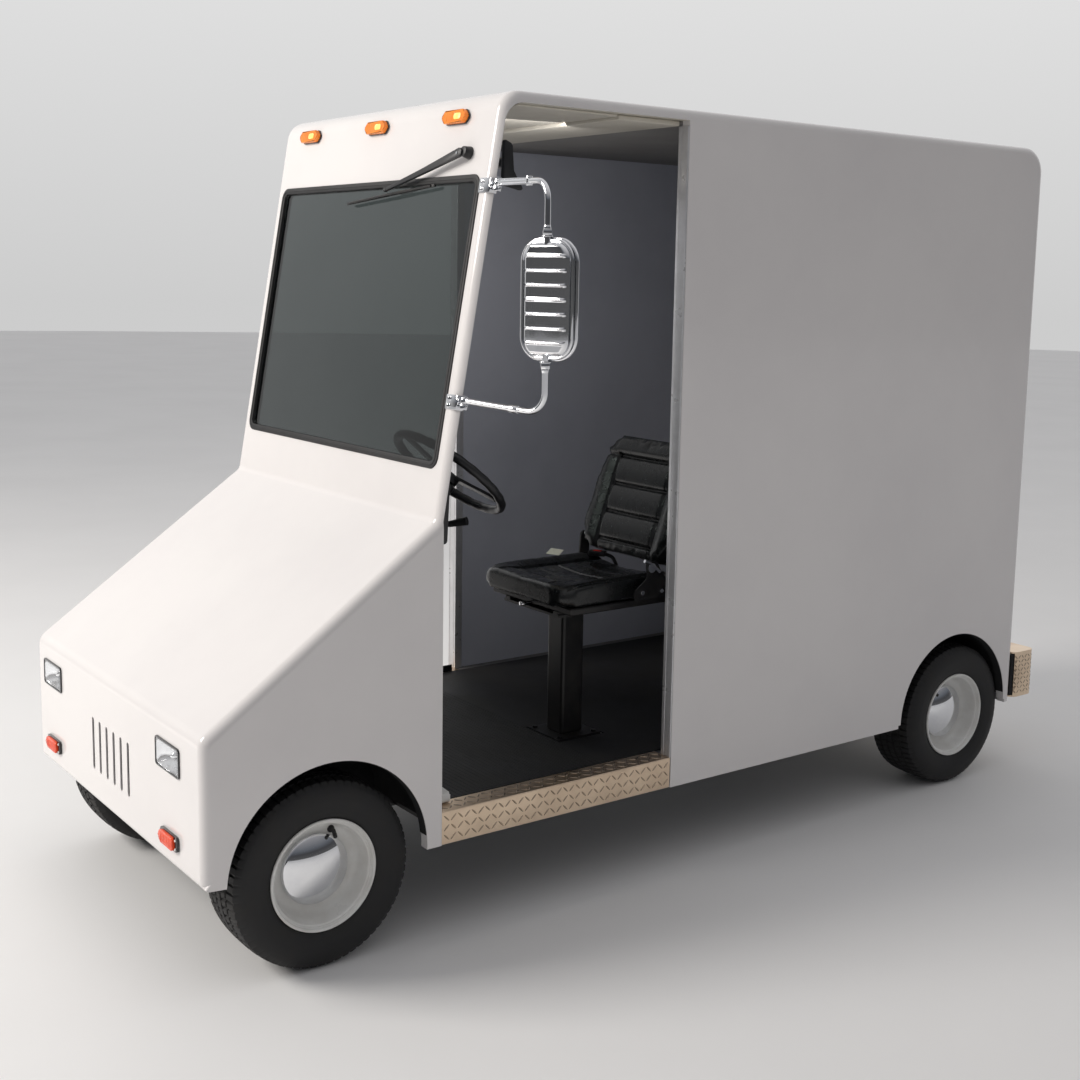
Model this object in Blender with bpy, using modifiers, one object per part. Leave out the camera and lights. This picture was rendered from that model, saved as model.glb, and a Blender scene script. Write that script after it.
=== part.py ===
"""Small walk-through mail delivery truck, built from its separate pieces.

Vehicle coordinates are used all through: the front faces -Y, the vehicle's left side is +X,
Z is up, the ground is z = 0 and y = 0 is midway between the axles.  Every object hangs from
one empty, the datum, which moves the whole truck so that the middle of its box stands on the
world origin.
"""
import math

import bmesh
import bpy
from mathutils import Matrix, Vector

# ---------------------------------------------------------------- driving dimensions (metres)
GAP = 0.0003                       # clearance kept between pieces that touch
NEAR = 0.0001                      # two places closer than this are the same place

HALF_WIDTH = 0.645                 # body, middle to outer face of a side
WALL = 0.033                       # thickness of the moulded body
EDGE = 0.028                       # rounding of the body's long outer edges
NOSE_Y = -1.640
NOSE_LOW_Z = 0.305
NOSE_TOP_Z = 0.690
COWL_Y, COWL_Z = -0.963, 1.180     # where the hood meets the windshield
LEAN = 0.173                       # windshield: metres back for each metre up
ROOF_Z = 2.330
REAR_Y = 1.600
SKIRT_Z = 0.270
FLOOR_Z = 0.364                    # top of the floor deck
DECK = 0.030                       # thickness of the floor deck

DOOR_FRONT_Y, DOOR_REAR_Y = -0.946, -0.116
DOOR_TOP_Z = ROOF_Z - WALL
SPLIT_LOW_Z = 1.165                # joint between front cowl and windshield frame
SPLIT_TOP_Z = 2.220                # joint below the roof panel
REAR_SPLIT_Y = 1.545               # joint between side panels and rear frame

WHEEL_Y = 1.295                    # axles stand at plus and minus this
WHEEL_Z = 0.260
WHEEL_X = 0.532                    # middle of a tyre
TYRE_R = 0.260
ARCH_R = 0.293
WHEEL_STEPS = 24                   # sides of the turned wheel pieces
FRONT_ARCH = (-1.285, 0.282)
REAR_ARCH = (1.262, 0.282)
KINGPIN_X = 0.455
HUB_R = 0.0215
TIE_ROD_BACK = 0.100               # tie rod behind the kingpins

SEAT_X = 0.243
PEDESTAL_Y = -0.228
SEAT_BASE_Z = 0.810                  # underside of the seat's steel pan
CUSHION_Z = 0.833
CUSHION_TOP_Z = 0.895
BACK_HINGE = (SEAT_X, 0.035, 0.955)
BACK_LEAN = math.radians(19.0)

WHEEL_CENTRE = Vector((SEAT_X, -0.675, 1.249))       # steering wheel
COLUMN_AXIS = Vector((0.0, 0.656, 0.755)).normalized()
STEERING_R = 0.185

MIRROR_X, MIRROR_Y = 0.911, -0.812                   # upright tube of the mirror arm
MIRROR_Z = 1.780
MIRROR_YAW = math.radians(18.0)
MIRROR_WIDTH, MIRROR_HEIGHT = 0.182, 0.314         # outline of the rim
MIRROR_CORNER = 0.064
BACK_TRIM_X, BACK_TRIM_Y = 0.018, 0.012              # ribbed back inside the rim
CLAMP_LOW_Z, CLAMP_HIGH_Z = 1.500, 2.075
PIVOT_X, PIVOT_OUT = 0.668, -0.008                   # mirror arm pivots, in the windshield frame

GLASS_LOW_Z, GLASS_TOP_Z = 1.315, 2.107              # opening for the windshield
GLASS_HALF, GLASS_CORNER = 0.595, 0.035
GASKET_BAND = 0.020
LOUVRE_LOW_Z, LOUVRE_TOP_Z = 0.400, 0.555
LOUVRE_START, LOUVRE_PITCH, LOUVRE_HALF = 0.028, 0.0555, 0.0085
LAMP_X = (0.430, -0.490)                             # left and right headlamp
SIGNAL_X = (0.441, -0.485)                           # left and right turn signal
LAMP_HALF, LAMP_CORNER = 0.080, 0.010
LAMP_LOW_Z, LAMP_TOP_Z = 0.5570, 0.6370
SIGNAL_HALF = 0.056
SIGNAL_LOW_Z, SIGNAL_TOP_Z = 0.3600, 0.4000
AXLE_BOX_X = 0.400                                   # inboard face of the rear wheel boxes
AXLE_BEAM_X = 0.400                                  # half length of the axle tubes
WIPER_X, WIPER_Z = 0.520, 2.165
MARKER_Z = 2.266                                     # middle of the marker lamps
REAR_DOOR_X = 0.500                                  # half width of the rear opening
REAR_DOOR_LOW, REAR_DOOR_HIGH = 0.468, 2.100
REAR_PIN = (0.515, 1.613)

BRAKE_X, ACCELERATOR_X = 0.183, 0.338
PEDAL_PIN_Y, PEDAL_PIN_Z = -0.918, 0.665
PAD_Y = -0.855

BOX_CENTRE_X = 0.1749                                # middle of the whole truck's box
BOX_CENTRE_Y = 0.0385

# ---------------------------------------------------------------- scene and helpers
for old in list(bpy.data.objects):
    bpy.data.objects.remove(old, do_unlink=True)

parts = bpy.data.collections.new("mail_delivery_truck")
cutters = bpy.data.collections.new("cutters")
bpy.context.scene.collection.children.link(parts)
bpy.context.scene.collection.children.link(cutters)
datum = bpy.data.objects.new("vehicle_datum", None)
datum.location = (-BOX_CENTRE_X, -BOX_CENTRE_Y, 0.0)
parts.objects.link(datum)


def material(name, colour, roughness, metallic=0.0):
    """A Principled material of one colour."""
    made = bpy.data.materials.new(name)
    made.use_nodes = True
    shader = made.node_tree.nodes["Principled BSDF"]
    shader.inputs["Base Color"].default_value = (*colour, 1.0)
    shader.inputs["Roughness"].default_value = roughness
    shader.inputs["Metallic"].default_value = metallic
    return made


WHITE = material("gelcoat_white", (0.86, 0.86, 0.88), 0.18)
BLACK_STEEL = material("black_steel", (0.03, 0.03, 0.03), 0.45, 0.3)
RUBBER = material("rubber_black", (0.02, 0.02, 0.02), 0.8)
RIM_WHITE = material("rim_white", (0.80, 0.80, 0.79), 0.35)
CHROME = material("chrome", (0.85, 0.85, 0.87), 0.06, 1.0)
ALUMINIUM = material("aluminium", (0.72, 0.71, 0.69), 0.35, 1.0)
AMBER = material("amber_lens", (0.95, 0.35, 0.03), 0.15)
RED = material("red_lens", (0.80, 0.10, 0.02), 0.15)
GLASS = material("tinted_glass", (0.05, 0.07, 0.06), 0.03)
SILVERED = material("silvered_glass", (0.85, 0.87, 0.88), 0.02, 1.0)
LAMP = material("lamp_clear", (0.75, 0.77, 0.80), 0.08, 0.4)
VINYL = material("vinyl_black", (0.03, 0.03, 0.033), 0.42)
PLASTIC = material("plastic_black", (0.025, 0.025, 0.028), 0.4)
PLY = material("deck_grey", (0.16, 0.16, 0.17), 0.7)


def node(name, mesh, finish, origin=(0.0, 0.0, 0.0)):
    """Make the named part from a mesh in vehicle coordinates, with its own origin and material."""
    own = finish.copy()
    own.name = f"{name}_{finish.name}"
    mesh.transform(Matrix.Translation(-Vector(origin)))
    mesh.name = name
    mesh.materials.clear()
    mesh.materials.append(own)
    mesh.shade_smooth()
    mesh.set_sharp_from_angle(angle=math.radians(32.0))
    made = bpy.data.objects.new(name, mesh)
    made.location = origin
    made.parent = datum
    parts.objects.link(made)
    return made


def from_bmesh(cage):
    mesh = bpy.data.meshes.new("work")
    cage.to_mesh(mesh)
    cage.free()
    return mesh


def evaluated(source, weld=0.00002):
    """The mesh of an object with its modifiers, as a new mesh; the object goes."""
    cutters.objects.link(source)
    graph = bpy.context.evaluated_depsgraph_get()
    mesh = bpy.data.meshes.new_from_object(source.evaluated_get(graph))
    bpy.data.objects.remove(source, do_unlink=True)
    cage = bmesh.new()
    cage.from_mesh(mesh)
    bmesh.ops.remove_doubles(cage, verts=cage.verts, dist=weld)
    return from_bmesh(cage)


def block(low, high, bevel=0.0, segments=2):
    """A box between two corners, with all edges rounded when bevel is given."""
    cage = bmesh.new()
    bmesh.ops.create_cube(cage, size=1.0)
    size = Vector(high) - Vector(low)
    bmesh.ops.scale(cage, vec=size, verts=cage.verts)
    bmesh.ops.translate(cage, vec=Vector(low) + size / 2.0, verts=cage.verts)
    if bevel > 0.0:
        bmesh.ops.bevel(cage, geom=cage.edges, offset=bevel, segments=segments, profile=0.5,
                        affect="EDGES")
    return from_bmesh(cage)


def rod(start, end, radius, end_radius=None, sides=20):
    """A cylinder, or a cone, from one point to another."""
    start, end = Vector(start), Vector(end)
    cage = bmesh.new()
    bmesh.ops.create_cone(cage, cap_ends=True, segments=sides, radius1=radius,
                          radius2=radius if end_radius is None else end_radius,
                          depth=(end - start).length)
    turn = (end - start).to_track_quat("Z", "Y").to_matrix().to_4x4()
    bmesh.ops.transform(cage, matrix=Matrix.Translation((start + end) / 2.0) @ turn,
                        verts=cage.verts)
    return from_bmesh(cage)


def rounded(corners, radii, steps=5):
    """A polygon's corners turned into arcs; radii is one number or one for each corner."""
    count = len(corners)
    radii = [radii] * count if isinstance(radii, (int, float)) else radii
    points = []
    for index in range(count):
        here = Vector(corners[index])
        before = (Vector(corners[index - 1]) - here).normalized()
        after = (Vector(corners[(index + 1) % count]) - here).normalized()
        if radii[index] <= 0.0:
            points.append(here)
            continue
        half = before.angle(after) / 2.0
        start = here + before * (radii[index] / math.tan(half))
        centre = here + (before + after).normalized() * (radii[index] / math.sin(half))
        end = here + after * (radii[index] / math.tan(half))
        sweep = (start - centre).angle_signed(end - centre)
        for step in range(steps + 1):
            turned_arm = (start - centre).copy()
            turned_arm.rotate(Matrix.Rotation(-sweep * step / steps, 2))
            points.append(centre + turned_arm)
    return points


def inset(corners, distance):
    """A counter-clockwise polygon moved inwards by a distance."""
    count = len(corners)
    moved = []
    for index in range(count):
        here = Vector(corners[index])
        back = (here - Vector(corners[index - 1])).normalized()
        on = (Vector(corners[(index + 1) % count]) - here).normalized()
        normal_back = Vector((-back.y, back.x))
        normal_on = Vector((-on.y, on.x))
        bisector = (normal_back + normal_on).normalized()
        moved.append(here + bisector * (distance / bisector.dot(normal_on)))
    return moved


def slab(outlines, low, high, placed=None):
    """A flat outline, or several where the inner ones are holes, from local z low to high."""
    curve = bpy.data.curves.new("outline", "CURVE")
    curve.dimensions = "2D"
    curve.fill_mode = "BOTH"
    curve.extrude = (high - low) / 2.0
    for outline in outlines:
        spline = curve.splines.new("POLY")
        spline.points.add(len(outline) - 1)
        for point, corner in zip(spline.points, outline):
            point.co = (corner[0], corner[1], 0.0, 1.0)
        spline.use_cyclic_u = True
    mesh = evaluated(bpy.data.objects.new("outline", curve))
    cage = bmesh.new()
    cage.from_mesh(mesh)
    if len(outlines) == 1:
        bmesh.ops.dissolve_limit(cage, angle_limit=0.001, verts=cage.verts, edges=cage.edges)
    bmesh.ops.recalc_face_normals(cage, faces=cage.faces)
    mesh = from_bmesh(cage)
    mesh.transform((placed or Matrix()) @ Matrix.Translation((0.0, 0.0, (low + high) / 2.0)))
    return mesh


SIDEWAYS = Matrix(((0, 0, 1, 0), (1, 0, 0, 0), (0, 1, 0, 0), (0, 0, 0, 1)))   # (y, z) along x
LENGTHWAYS = Matrix(((1, 0, 0, 0), (0, 0, -1, 0), (0, 1, 0, 0), (0, 0, 0, 1)))   # (x, z) along -y


def bar(outlines, y_low, y_high):
    """Outlines in (x, z) extruded along Y."""
    return slab(outlines, -y_high, -y_low, LENGTHWAYS)


def tube(points, radius, sides=2, closed=False):
    """A round bar through the points."""
    curve = bpy.data.curves.new("tube", "CURVE")
    curve.dimensions = "3D"
    curve.bevel_depth = radius
    curve.bevel_resolution = sides
    curve.use_fill_caps = True
    spline = curve.splines.new("POLY")
    spline.points.add(len(points) - 1)
    for point, place in zip(spline.points, points):
        point.co = (*place, 1.0)
    spline.use_cyclic_u = closed
    return evaluated(bpy.data.objects.new("tube", curve))


def bent(points, radius, steps=5):
    """The points of a path with each inner corner bent to a radius."""
    path = [Vector(points[0])]
    for index in range(1, len(points) - 1):
        here = Vector(points[index])
        before = (Vector(points[index - 1]) - here).normalized()
        after = (Vector(points[index + 1]) - here).normalized()
        half = before.angle(after) / 2.0
        centre = here + (before + after).normalized() * (radius / math.sin(half))
        start = here + before * (radius / math.tan(half)) - centre
        end = here + after * (radius / math.tan(half)) - centre
        for step in range(steps + 1):
            share = step / steps
            path.append(centre + start.slerp(end, share).normalized() * radius)
    path.append(Vector(points[-1]))
    return path


def turned(profile, placed, steps=32, closed=True):
    """A profile of (radius, height) pairs, down its outer side, turned about local Z."""
    mesh = bpy.data.meshes.new("profile")
    count = len(profile)
    edges = [(i, (i + 1) % count) for i in range(count if closed else count - 1)]
    mesh.from_pydata([(r, 0.0, z) for r, z in profile], edges, [])
    source = bpy.data.objects.new("profile", mesh)
    screw = source.modifiers.new("turn", "SCREW")
    screw.steps = steps
    screw.render_steps = steps
    screw.use_merge_vertices = True
    screw.merge_threshold = 0.00005
    screw.use_normal_calculate = False
    made = evaluated(source)
    made.transform(placed @ Matrix.Rotation(math.pi / steps, 4, "Z"))
    return made


def combined(base, others, operation):
    """A Boolean of one mesh with others, one after another."""
    body = bpy.data.objects.new("body", base)
    tools = []
    for other in others:
        tool = bpy.data.objects.new("cutter", other)
        tool.hide_render = True
        tool.display_type = "WIRE"
        cutters.objects.link(tool)
        tools.append(tool)
        step = body.modifiers.new("boolean", "BOOLEAN")
        step.operation = operation
        step.solver = "EXACT"
        step.object = tool
    mesh = evaluated(body, 0.0000002)
    for tool in tools:
        bpy.data.objects.remove(tool, do_unlink=True)
    return mesh


def cut(base, *others):
    return combined(base, others, "DIFFERENCE")


def join(base, *others):
    return combined(base, others, "UNION")


def keep(base, region):
    return combined(base, [region], "INTERSECT")


def mirrored(mesh):
    """A copy on the other side of the truck."""
    other = mesh.copy()
    other.transform(Matrix.Scale(-1.0, 4, (1.0, 0.0, 0.0)))
    other.flip_normals()
    return other


def rectangle(x0, x1, y0, y1, radius=0.0, steps=4):
    return rounded([(x0, y0), (x1, y0), (x1, y1), (x0, y1)], radius, steps)


def outboard(x, y, z, side=1.0):
    """Local Z points away from the truck's middle, for wheels."""
    return Matrix.Translation((x * side, y, z)) @ Matrix.Rotation(side * math.pi / 2.0, 4, "Y")


# Windshield plane: local X is across, local Y runs up the glass, local Z points out.
LEAN_ANGLE = math.atan(LEAN)
SCREEN = Matrix.Translation((0.0, COWL_Y, COWL_Z)) @ Matrix.Rotation(
    math.pi / 2.0 - LEAN_ANGLE, 4, "X")


def up_screen(z):
    """Distance up the windshield plane for a height above the ground."""
    return (z - COWL_Z) / math.cos(LEAN_ANGLE)


def on_screen(x, z, out=0.0):
    return SCREEN @ Vector((x, up_screen(z), out))


# ---------------------------------------------------------------- moulded body
def outer_corners():
    roof_front_y = COWL_Y + LEAN * (ROOF_Z - COWL_Z)
    return [(NOSE_Y, NOSE_TOP_Z), (NOSE_Y, NOSE_LOW_Z), (-1.575, 0.300), (-1.000, SKIRT_Z),
            (REAR_Y, SKIRT_Z), (REAR_Y, ROOF_Z), (roof_front_y, ROOF_Z), (COWL_Y, COWL_Z)]


def body_shell():
    """The whole moulding as one hollow shell with every opening, before it is divided."""
    corners = outer_corners()
    outside = slab([rounded(corners, [0.045, 0.020, 0, 0, 0, 0.090, 0.070, 0.030])],
                   -HALF_WIDTH, HALF_WIDTH, SIDEWAYS)
    cage = bmesh.new()
    cage.from_mesh(outside)
    rims = []
    for edge in cage.edges:
        a, b = edge.verts[0].co, edge.verts[1].co
        if abs(a.x - b.x) < NEAR and abs(abs(a.x) - HALF_WIDTH) < NEAR and max(a.z, b.z) > NOSE_LOW_Z + NEAR:
            rims.append(edge)
    bmesh.ops.bevel(cage, geom=rims, offset=EDGE, segments=3, profile=0.5, affect="EDGES")
    outside = from_bmesh(cage)
    inner = inset(corners, WALL)
    for index in (1, 2, 3, 4):
        inner[index].y = SKIRT_Z - 0.1
    inside = slab([rounded(inner, [0.012, 0, 0, 0, 0, 0.060, 0.037, 0.060])],
                  -HALF_WIDTH + WALL, HALF_WIDTH - WALL, SIDEWAYS)
    shell = cut(outside, inside)
    openings = []
    for side in (1.0, -1.0):
        reach = sorted((side * (HALF_WIDTH - WALL - 0.0005), side * (HALF_WIDTH + 0.1)))
        top_y = DOOR_FRONT_Y + LEAN * (DOOR_TOP_Z - COWL_Z)
        doorway = rounded([(DOOR_FRONT_Y, 0.1), (DOOR_REAR_Y + 0.004, 0.1),
                           (DOOR_REAR_Y + 0.004, DOOR_TOP_Z), (top_y, DOOR_TOP_Z),
                           (DOOR_FRONT_Y, COWL_Z)], [0, 0, 0, 0.060, 0])
        openings.append(slab([doorway], *reach, SIDEWAYS))
        for y, z in (FRONT_ARCH, REAR_ARCH):
            openings.append(rod((reach[0], y, z), (reach[1], y, z), ARCH_R, sides=40))
    front_lip = block((-0.7, FRONT_ARCH[0] - 0.288, 0.1), (0.7, FRONT_ARCH[0] + 0.289, FRONT_ARCH[1]))
    rear_lip = block((-0.7, REAR_ARCH[0] - 0.305, 0.1), (0.7, REAR_ARCH[0] + 0.299, REAR_ARCH[1]))
    openings += [front_lip, rear_lip]
    low, high = up_screen(GLASS_LOW_Z), up_screen(GLASS_TOP_Z)
    openings.append(slab([rectangle(-GLASS_HALF, GLASS_HALF, low, high, GLASS_CORNER)], -0.2, 0.2, SCREEN))
    for side in (1.0, -1.0):
        for number in range(3):
            middle = side * (LOUVRE_START + LOUVRE_PITCH * number)
            slot = rectangle(middle - LOUVRE_HALF, middle + LOUVRE_HALF, LOUVRE_LOW_Z, LOUVRE_TOP_Z,
                             LOUVRE_HALF - 0.0001)
            openings.append(bar([slot], -1.75, -1.50))
    for x in LAMP_X:
        recess = rectangle(x - LAMP_HALF, x + LAMP_HALF, LAMP_LOW_Z, LAMP_TOP_Z, LAMP_CORNER)
        openings.append(bar([recess], -1.75, -1.50))
    openings.append(block((-REAR_DOOR_X, 1.5, REAR_DOOR_LOW), (REAR_DOOR_X, 1.7, REAR_DOOR_HIGH)))
    openings.append(block((-0.32, 1.5, 0.1), (0.32, 1.7, 0.345)))
    return cut(shell, *openings)


def moulded_body():
    shell = body_shell()
    half = GAP / 2.0
    cowl = keep(shell.copy(), block((-0.8, -1.8, 0.1), (0.8, -0.5, SPLIT_LOW_Z - half)))
    node("front_cowl", cowl, WHITE)
    frame = keep(shell.copy(), block((-0.8, -1.8, SPLIT_LOW_Z + half), (0.8, -0.5, SPLIT_TOP_Z - half)))
    node("windshield_frame", frame, WHITE)
    roof = keep(shell.copy(), block((-0.8, -1.8, SPLIT_TOP_Z + half), (0.8, 1.8, 2.6)))
    bow = block((-HALF_WIDTH + WALL - 0.01, -0.350, DOOR_TOP_Z - 0.012),
                (HALF_WIDTH - WALL + 0.01, DOOR_REAR_Y - 0.004, DOOR_TOP_Z + 0.01))
    node("roof_panel", join(roof, bow), WHITE)
    side = keep(shell.copy(), block((0.5, -0.3, 0.1), (0.8, REAR_SPLIT_Y - half, SPLIT_TOP_Z - half)))
    node("side_panel_right", mirrored(side), WHITE)
    node("side_panel_left", side, WHITE)
    rear = keep(shell, block((-0.8, REAR_SPLIT_Y + half, 0.1), (0.8, 1.8, SPLIT_TOP_Z - half)))
    pin_x, pin_y = REAR_PIN
    hinges = []
    for z in (0.620, 1.284, 1.940):
        hinges.append(rod((pin_x, pin_y, z - 0.030), (pin_x, pin_y, z), 0.012))
        hinges.append(rod((pin_x, pin_y, z - 0.020), (pin_x, pin_y, z + 0.029), 0.005, sides=12))
        hinges.append(block((pin_x, REAR_Y - 0.003, z - 0.030), (pin_x + 0.045, REAR_Y + 0.005, z)))
    node("rear_frame", join(rear, *hinges), WHITE)


# ---------------------------------------------------------------- floor, chassis, axles
def floor_and_chassis():
    inner = HALF_WIDTH - WALL - 0.0005
    deck = block((-inner, DOOR_FRONT_Y - 0.016, FLOOR_Z - DECK),
                 (inner, REAR_Y - WALL - GAP, FLOOR_Z))
    firewall = block((-inner, DOOR_FRONT_Y - 0.016, FLOOR_Z - 0.01), (inner, -0.950, 1.120))
    pieces = [firewall]
    for side in (1.0, -1.0):
        x0, x1 = sorted((side * 0.600, side * 0.6395))
        pieces.append(block((x0, DOOR_FRONT_Y + 0.001, 0.276), (x1, DOOR_REAR_Y + 0.0035, FLOOR_Z)))
        x0, x1 = sorted((side * AXLE_BOX_X, side * inner))
        pieces.append(block((x0, 0.940, FLOOR_Z - 0.01), (x1, REAR_Y - WALL - GAP, 0.592)))
    for x in (BRAKE_X, ACCELERATOR_X):
        for side in (-1.0, 1.0):
            x0, x1 = sorted((x + side * 0.027, x + side * 0.033))
            pieces.append(block((x0, -0.951, PEDAL_PIN_Z - 0.025), (x1, -0.905, PEDAL_PIN_Z + 0.025)))
    deck = join(deck, *pieces)
    cavities = []
    for side in (1.0, -1.0):
        x0, x1 = sorted((side * (AXLE_BOX_X + 0.012), side * 0.8))
        cavities.append(block((x0, 0.953, 0.1), (x1, 1.8, 0.580)))
    node("floor_deck", cut(deck, *cavities), PLY)

    mat = slab([rectangle(-0.565, 0.565, -0.940, 0.920, 0.01),
                rectangle(SEAT_X - 0.095, SEAT_X + 0.095, PEDESTAL_Y - 0.095, PEDESTAL_Y + 0.095)],
               FLOOR_Z + GAP, FLOOR_Z + GAP + 0.004)
    node("floor_mat", mat, RUBBER)

    rail = block((0.260, -1.560, 0.270), (0.300, REAR_Y - 0.040, FLOOR_Z - DECK - GAP))
    beams = [mirrored(rail)]
    crossings = ((-1.560, 0.300), (-0.900, 0.598), (0.000, 0.598), (0.870, 0.598), (1.500, 0.400))
    for y, reach in crossings:
        beams.append(block((-reach, y, 0.276), (reach, y + 0.040, FLOOR_Z - DECK - GAP)))
    for x in (-0.300, 0.260):
        beams.append(block((x, 1.500, 0.290), (x + 0.040, 1.7305, 0.328)))
    chassis = join(rail, *beams)
    chassis = cut(chassis, block((-0.35, WHEEL_Y - 0.075, 0.1), (0.35, WHEEL_Y + 0.075, 0.306)))
    node("chassis_frame", chassis, BLACK_STEEL)

    battery = block((-0.255, -0.700, 0.150), (0.255, 0.700, 0.2755), 0.006)
    node("battery_pack", battery, PLASTIC)


def leaf_spring(x, y, low):
    """One flat spring under a rail: a strip with its ends raised to the rail."""
    top = 0.270 - GAP
    strip = 0.009
    profile = [(y - 0.290, top - 0.012), (y - 0.250, top - 0.012), (y - 0.110, low), (y + 0.110, low),
               (y + 0.250, top - 0.012), (y + 0.290, top - 0.012), (y + 0.290, top),
               (y + 0.240, top), (y + 0.110, low + strip), (y - 0.110, low + strip),
               (y - 0.240, top), (y - 0.290, top)]
    return slab([profile], x - 0.019, x + 0.019, SIDEWAYS)


def axles():
    y = -WHEEL_Y
    beam = rod((-0.405, y, 0.212), (0.405, y, 0.212), 0.025)
    pieces = []
    for side in (1.0, -1.0):
        pieces.append(leaf_spring(side * 0.280, y, 0.232))
        for z in (0.200, 0.302):
            pieces.append(rod((side * KINGPIN_X, y, z - 0.001), (side * KINGPIN_X, y, z + 0.013), 0.020))
            x0, x1 = sorted((side * AXLE_BEAM_X, side * KINGPIN_X))
            pieces.append(block((x0, y - 0.016, z), (x1, y + 0.016, z + 0.014)))
        x0, x1 = sorted((side * 0.395, side * 0.412))
        pieces.append(block((x0, y - 0.018, 0.202), (x1, y + 0.018, 0.314)))
    axle = join(beam, *pieces)
    bores = [rod((side * KINGPIN_X, y, 0.150), (side * KINGPIN_X, y, 0.350), 0.0106)
             for side in (1.0, -1.0)]
    node("front_axle", cut(axle, *bores), BLACK_STEEL)

    y = WHEEL_Y
    shaft = rod((-WHEEL_X - 0.022, y, WHEEL_Z), (WHEEL_X + 0.022, y, WHEEL_Z), HUB_R)
    housing = rod((-AXLE_BEAM_X, y, WHEEL_Z), (AXLE_BEAM_X, y, WHEEL_Z), 0.030)
    centre = rod((-0.060, y, WHEEL_Z), (0.030, y, WHEEL_Z), 0.068, sides=28)
    motor = rod((0.030, y, WHEEL_Z), (0.215, y, WHEEL_Z), 0.060, sides=28)
    springs = [leaf_spring(side * 0.280, y, 0.222) for side in (1.0, -1.0)]
    node("rear_axle", join(housing, shaft, centre, motor, *springs), BLACK_STEEL)

    for side, name in ((1.0, "knuckle_left"), (-1.0, "knuckle_right")):
        x, y = side * KINGPIN_X, -WHEEL_Y
        boss = rod((x, y, 0.2140), (x, y, 0.3005), 0.022)
        pin = rod((x, y, 0.196), (x, y, 0.320), 0.010, sides=16)
        spindle = rod((x, y, WHEEL_Z), (side * (WHEEL_X + 0.022), y, WHEEL_Z), HUB_R)
        arm = block((x - 0.008, y, 0.2162), (x + 0.008, y + TIE_ROD_BACK + 0.010, 0.2282))
        node(name, join(boss, pin, spindle, arm), BLACK_STEEL, (x, y, WHEEL_Z))

    y, z = -WHEEL_Y + TIE_ROD_BACK, 0.2085
    ends = [rod((x, y, z - 0.008), (x, y, 0.2159), 0.009, sides=12) for x in (-KINGPIN_X, KINGPIN_X)]
    shaft = rod((-KINGPIN_X, y, z), (KINGPIN_X, y, z), 0.0055, sides=12)
    node("tie_rod", join(shaft, *ends), BLACK_STEEL, (0.0, y, z))


# ---------------------------------------------------------------- wheels
FLAT = 1.0 / math.cos(math.pi / WHEEL_STEPS)         # puts the flats of the tread at the tyre's radius
TREAD_R = TYRE_R * FLAT
TYRE_PROFILE = [(TREAD_R, 0.045), (TREAD_R, -0.045), (0.255, -0.078), (0.240, -0.094), (0.208, -0.100),
                (0.172, -0.096), (0.1545, -0.0865), (0.1430, -0.0840), (0.1430, 0.0840),
                (0.1545, 0.0865), (0.172, 0.096), (0.208, 0.100), (0.240, 0.094), (0.255, 0.078)]
RIM_PROFILE = [(0.1540, 0.0940), (0.1540, 0.0880), (0.1425, 0.0850), (0.1425, -0.0850),
               (0.1540, -0.0880), (0.1540, -0.0940), (0.1470, -0.0940), (0.1360, -0.0820),
               (0.1350, 0.0150), (0.0220, 0.0160), (0.0220, 0.0260), (0.1270, 0.0260),
               (0.1350, 0.0400), (0.1400, 0.0820), (0.1470, 0.0940)]
CAP_PROFILE = [(0.0, 0.0600), (0.0300, 0.0580), (0.0600, 0.0510), (0.0820, 0.0410),
               (0.0940, 0.0310), (0.0970, 0.0263), (0.0, 0.0263)]


def wheels():
    for y, end in ((-WHEEL_Y, "front"), (WHEEL_Y, "rear")):
        for side, hand in ((1.0, "left"), (-1.0, "right")):
            where = outboard(WHEEL_X, y, WHEEL_Z, side)
            centre = (side * WHEEL_X, y, WHEEL_Z)
            tyre = turned(TYRE_PROFILE, where, WHEEL_STEPS)
            node(f"tyre_{end}_{hand}", tyre, RUBBER, centre)
            node(f"rim_{end}_{hand}", turned(RIM_PROFILE, where, WHEEL_STEPS), RIM_WHITE, centre)
            cap = turned(CAP_PROFILE, where, WHEEL_STEPS, closed=False)
            node(f"hub_cap_{end}_{hand}", cap, CHROME, centre)


# ---------------------------------------------------------------- outside fittings
def lamps():
    for x, signal_x, hand in zip(LAMP_X, SIGNAL_X, ("left", "right")):
        fit = 0.0005
        outline = rectangle(x - LAMP_HALF + fit, x + LAMP_HALF - fit, LAMP_LOW_Z + fit, LAMP_TOP_Z - fit,
                            LAMP_CORNER)
        lamp = bar([outline], NOSE_Y - 0.004, NOSE_Y + 0.030)
        node(f"headlamp_{hand}", lamp, LAMP)
        outline = rectangle(signal_x - SIGNAL_HALF, signal_x + SIGNAL_HALF, SIGNAL_LOW_Z, SIGNAL_TOP_Z,
                            0.008)
        signal = bar([outline], NOSE_Y - 0.020, NOSE_Y - GAP)
        node(f"turn_signal_{hand}", signal, RED)
    middle = up_screen(MARKER_Z)
    half_long, half_high, corner = 0.0620, 0.0200, 0.015
    for x, place in ((0.432, "left"), (-0.008, "centre"), (-0.440, "right")):
        outline = [(x - half_long, middle - half_high + corner), (x - half_long + corner, middle - half_high),
                   (x + half_long - corner, middle - half_high), (x + half_long, middle - half_high + corner),
                   (x + half_long, middle + half_high - corner), (x + half_long - corner, middle + half_high),
                   (x - half_long + corner, middle + half_high), (x - half_long, middle + half_high - corner)]
        node(f"marker_lamp_{place}", slab([outline], GAP, 0.017, SCREEN), AMBER)


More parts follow.
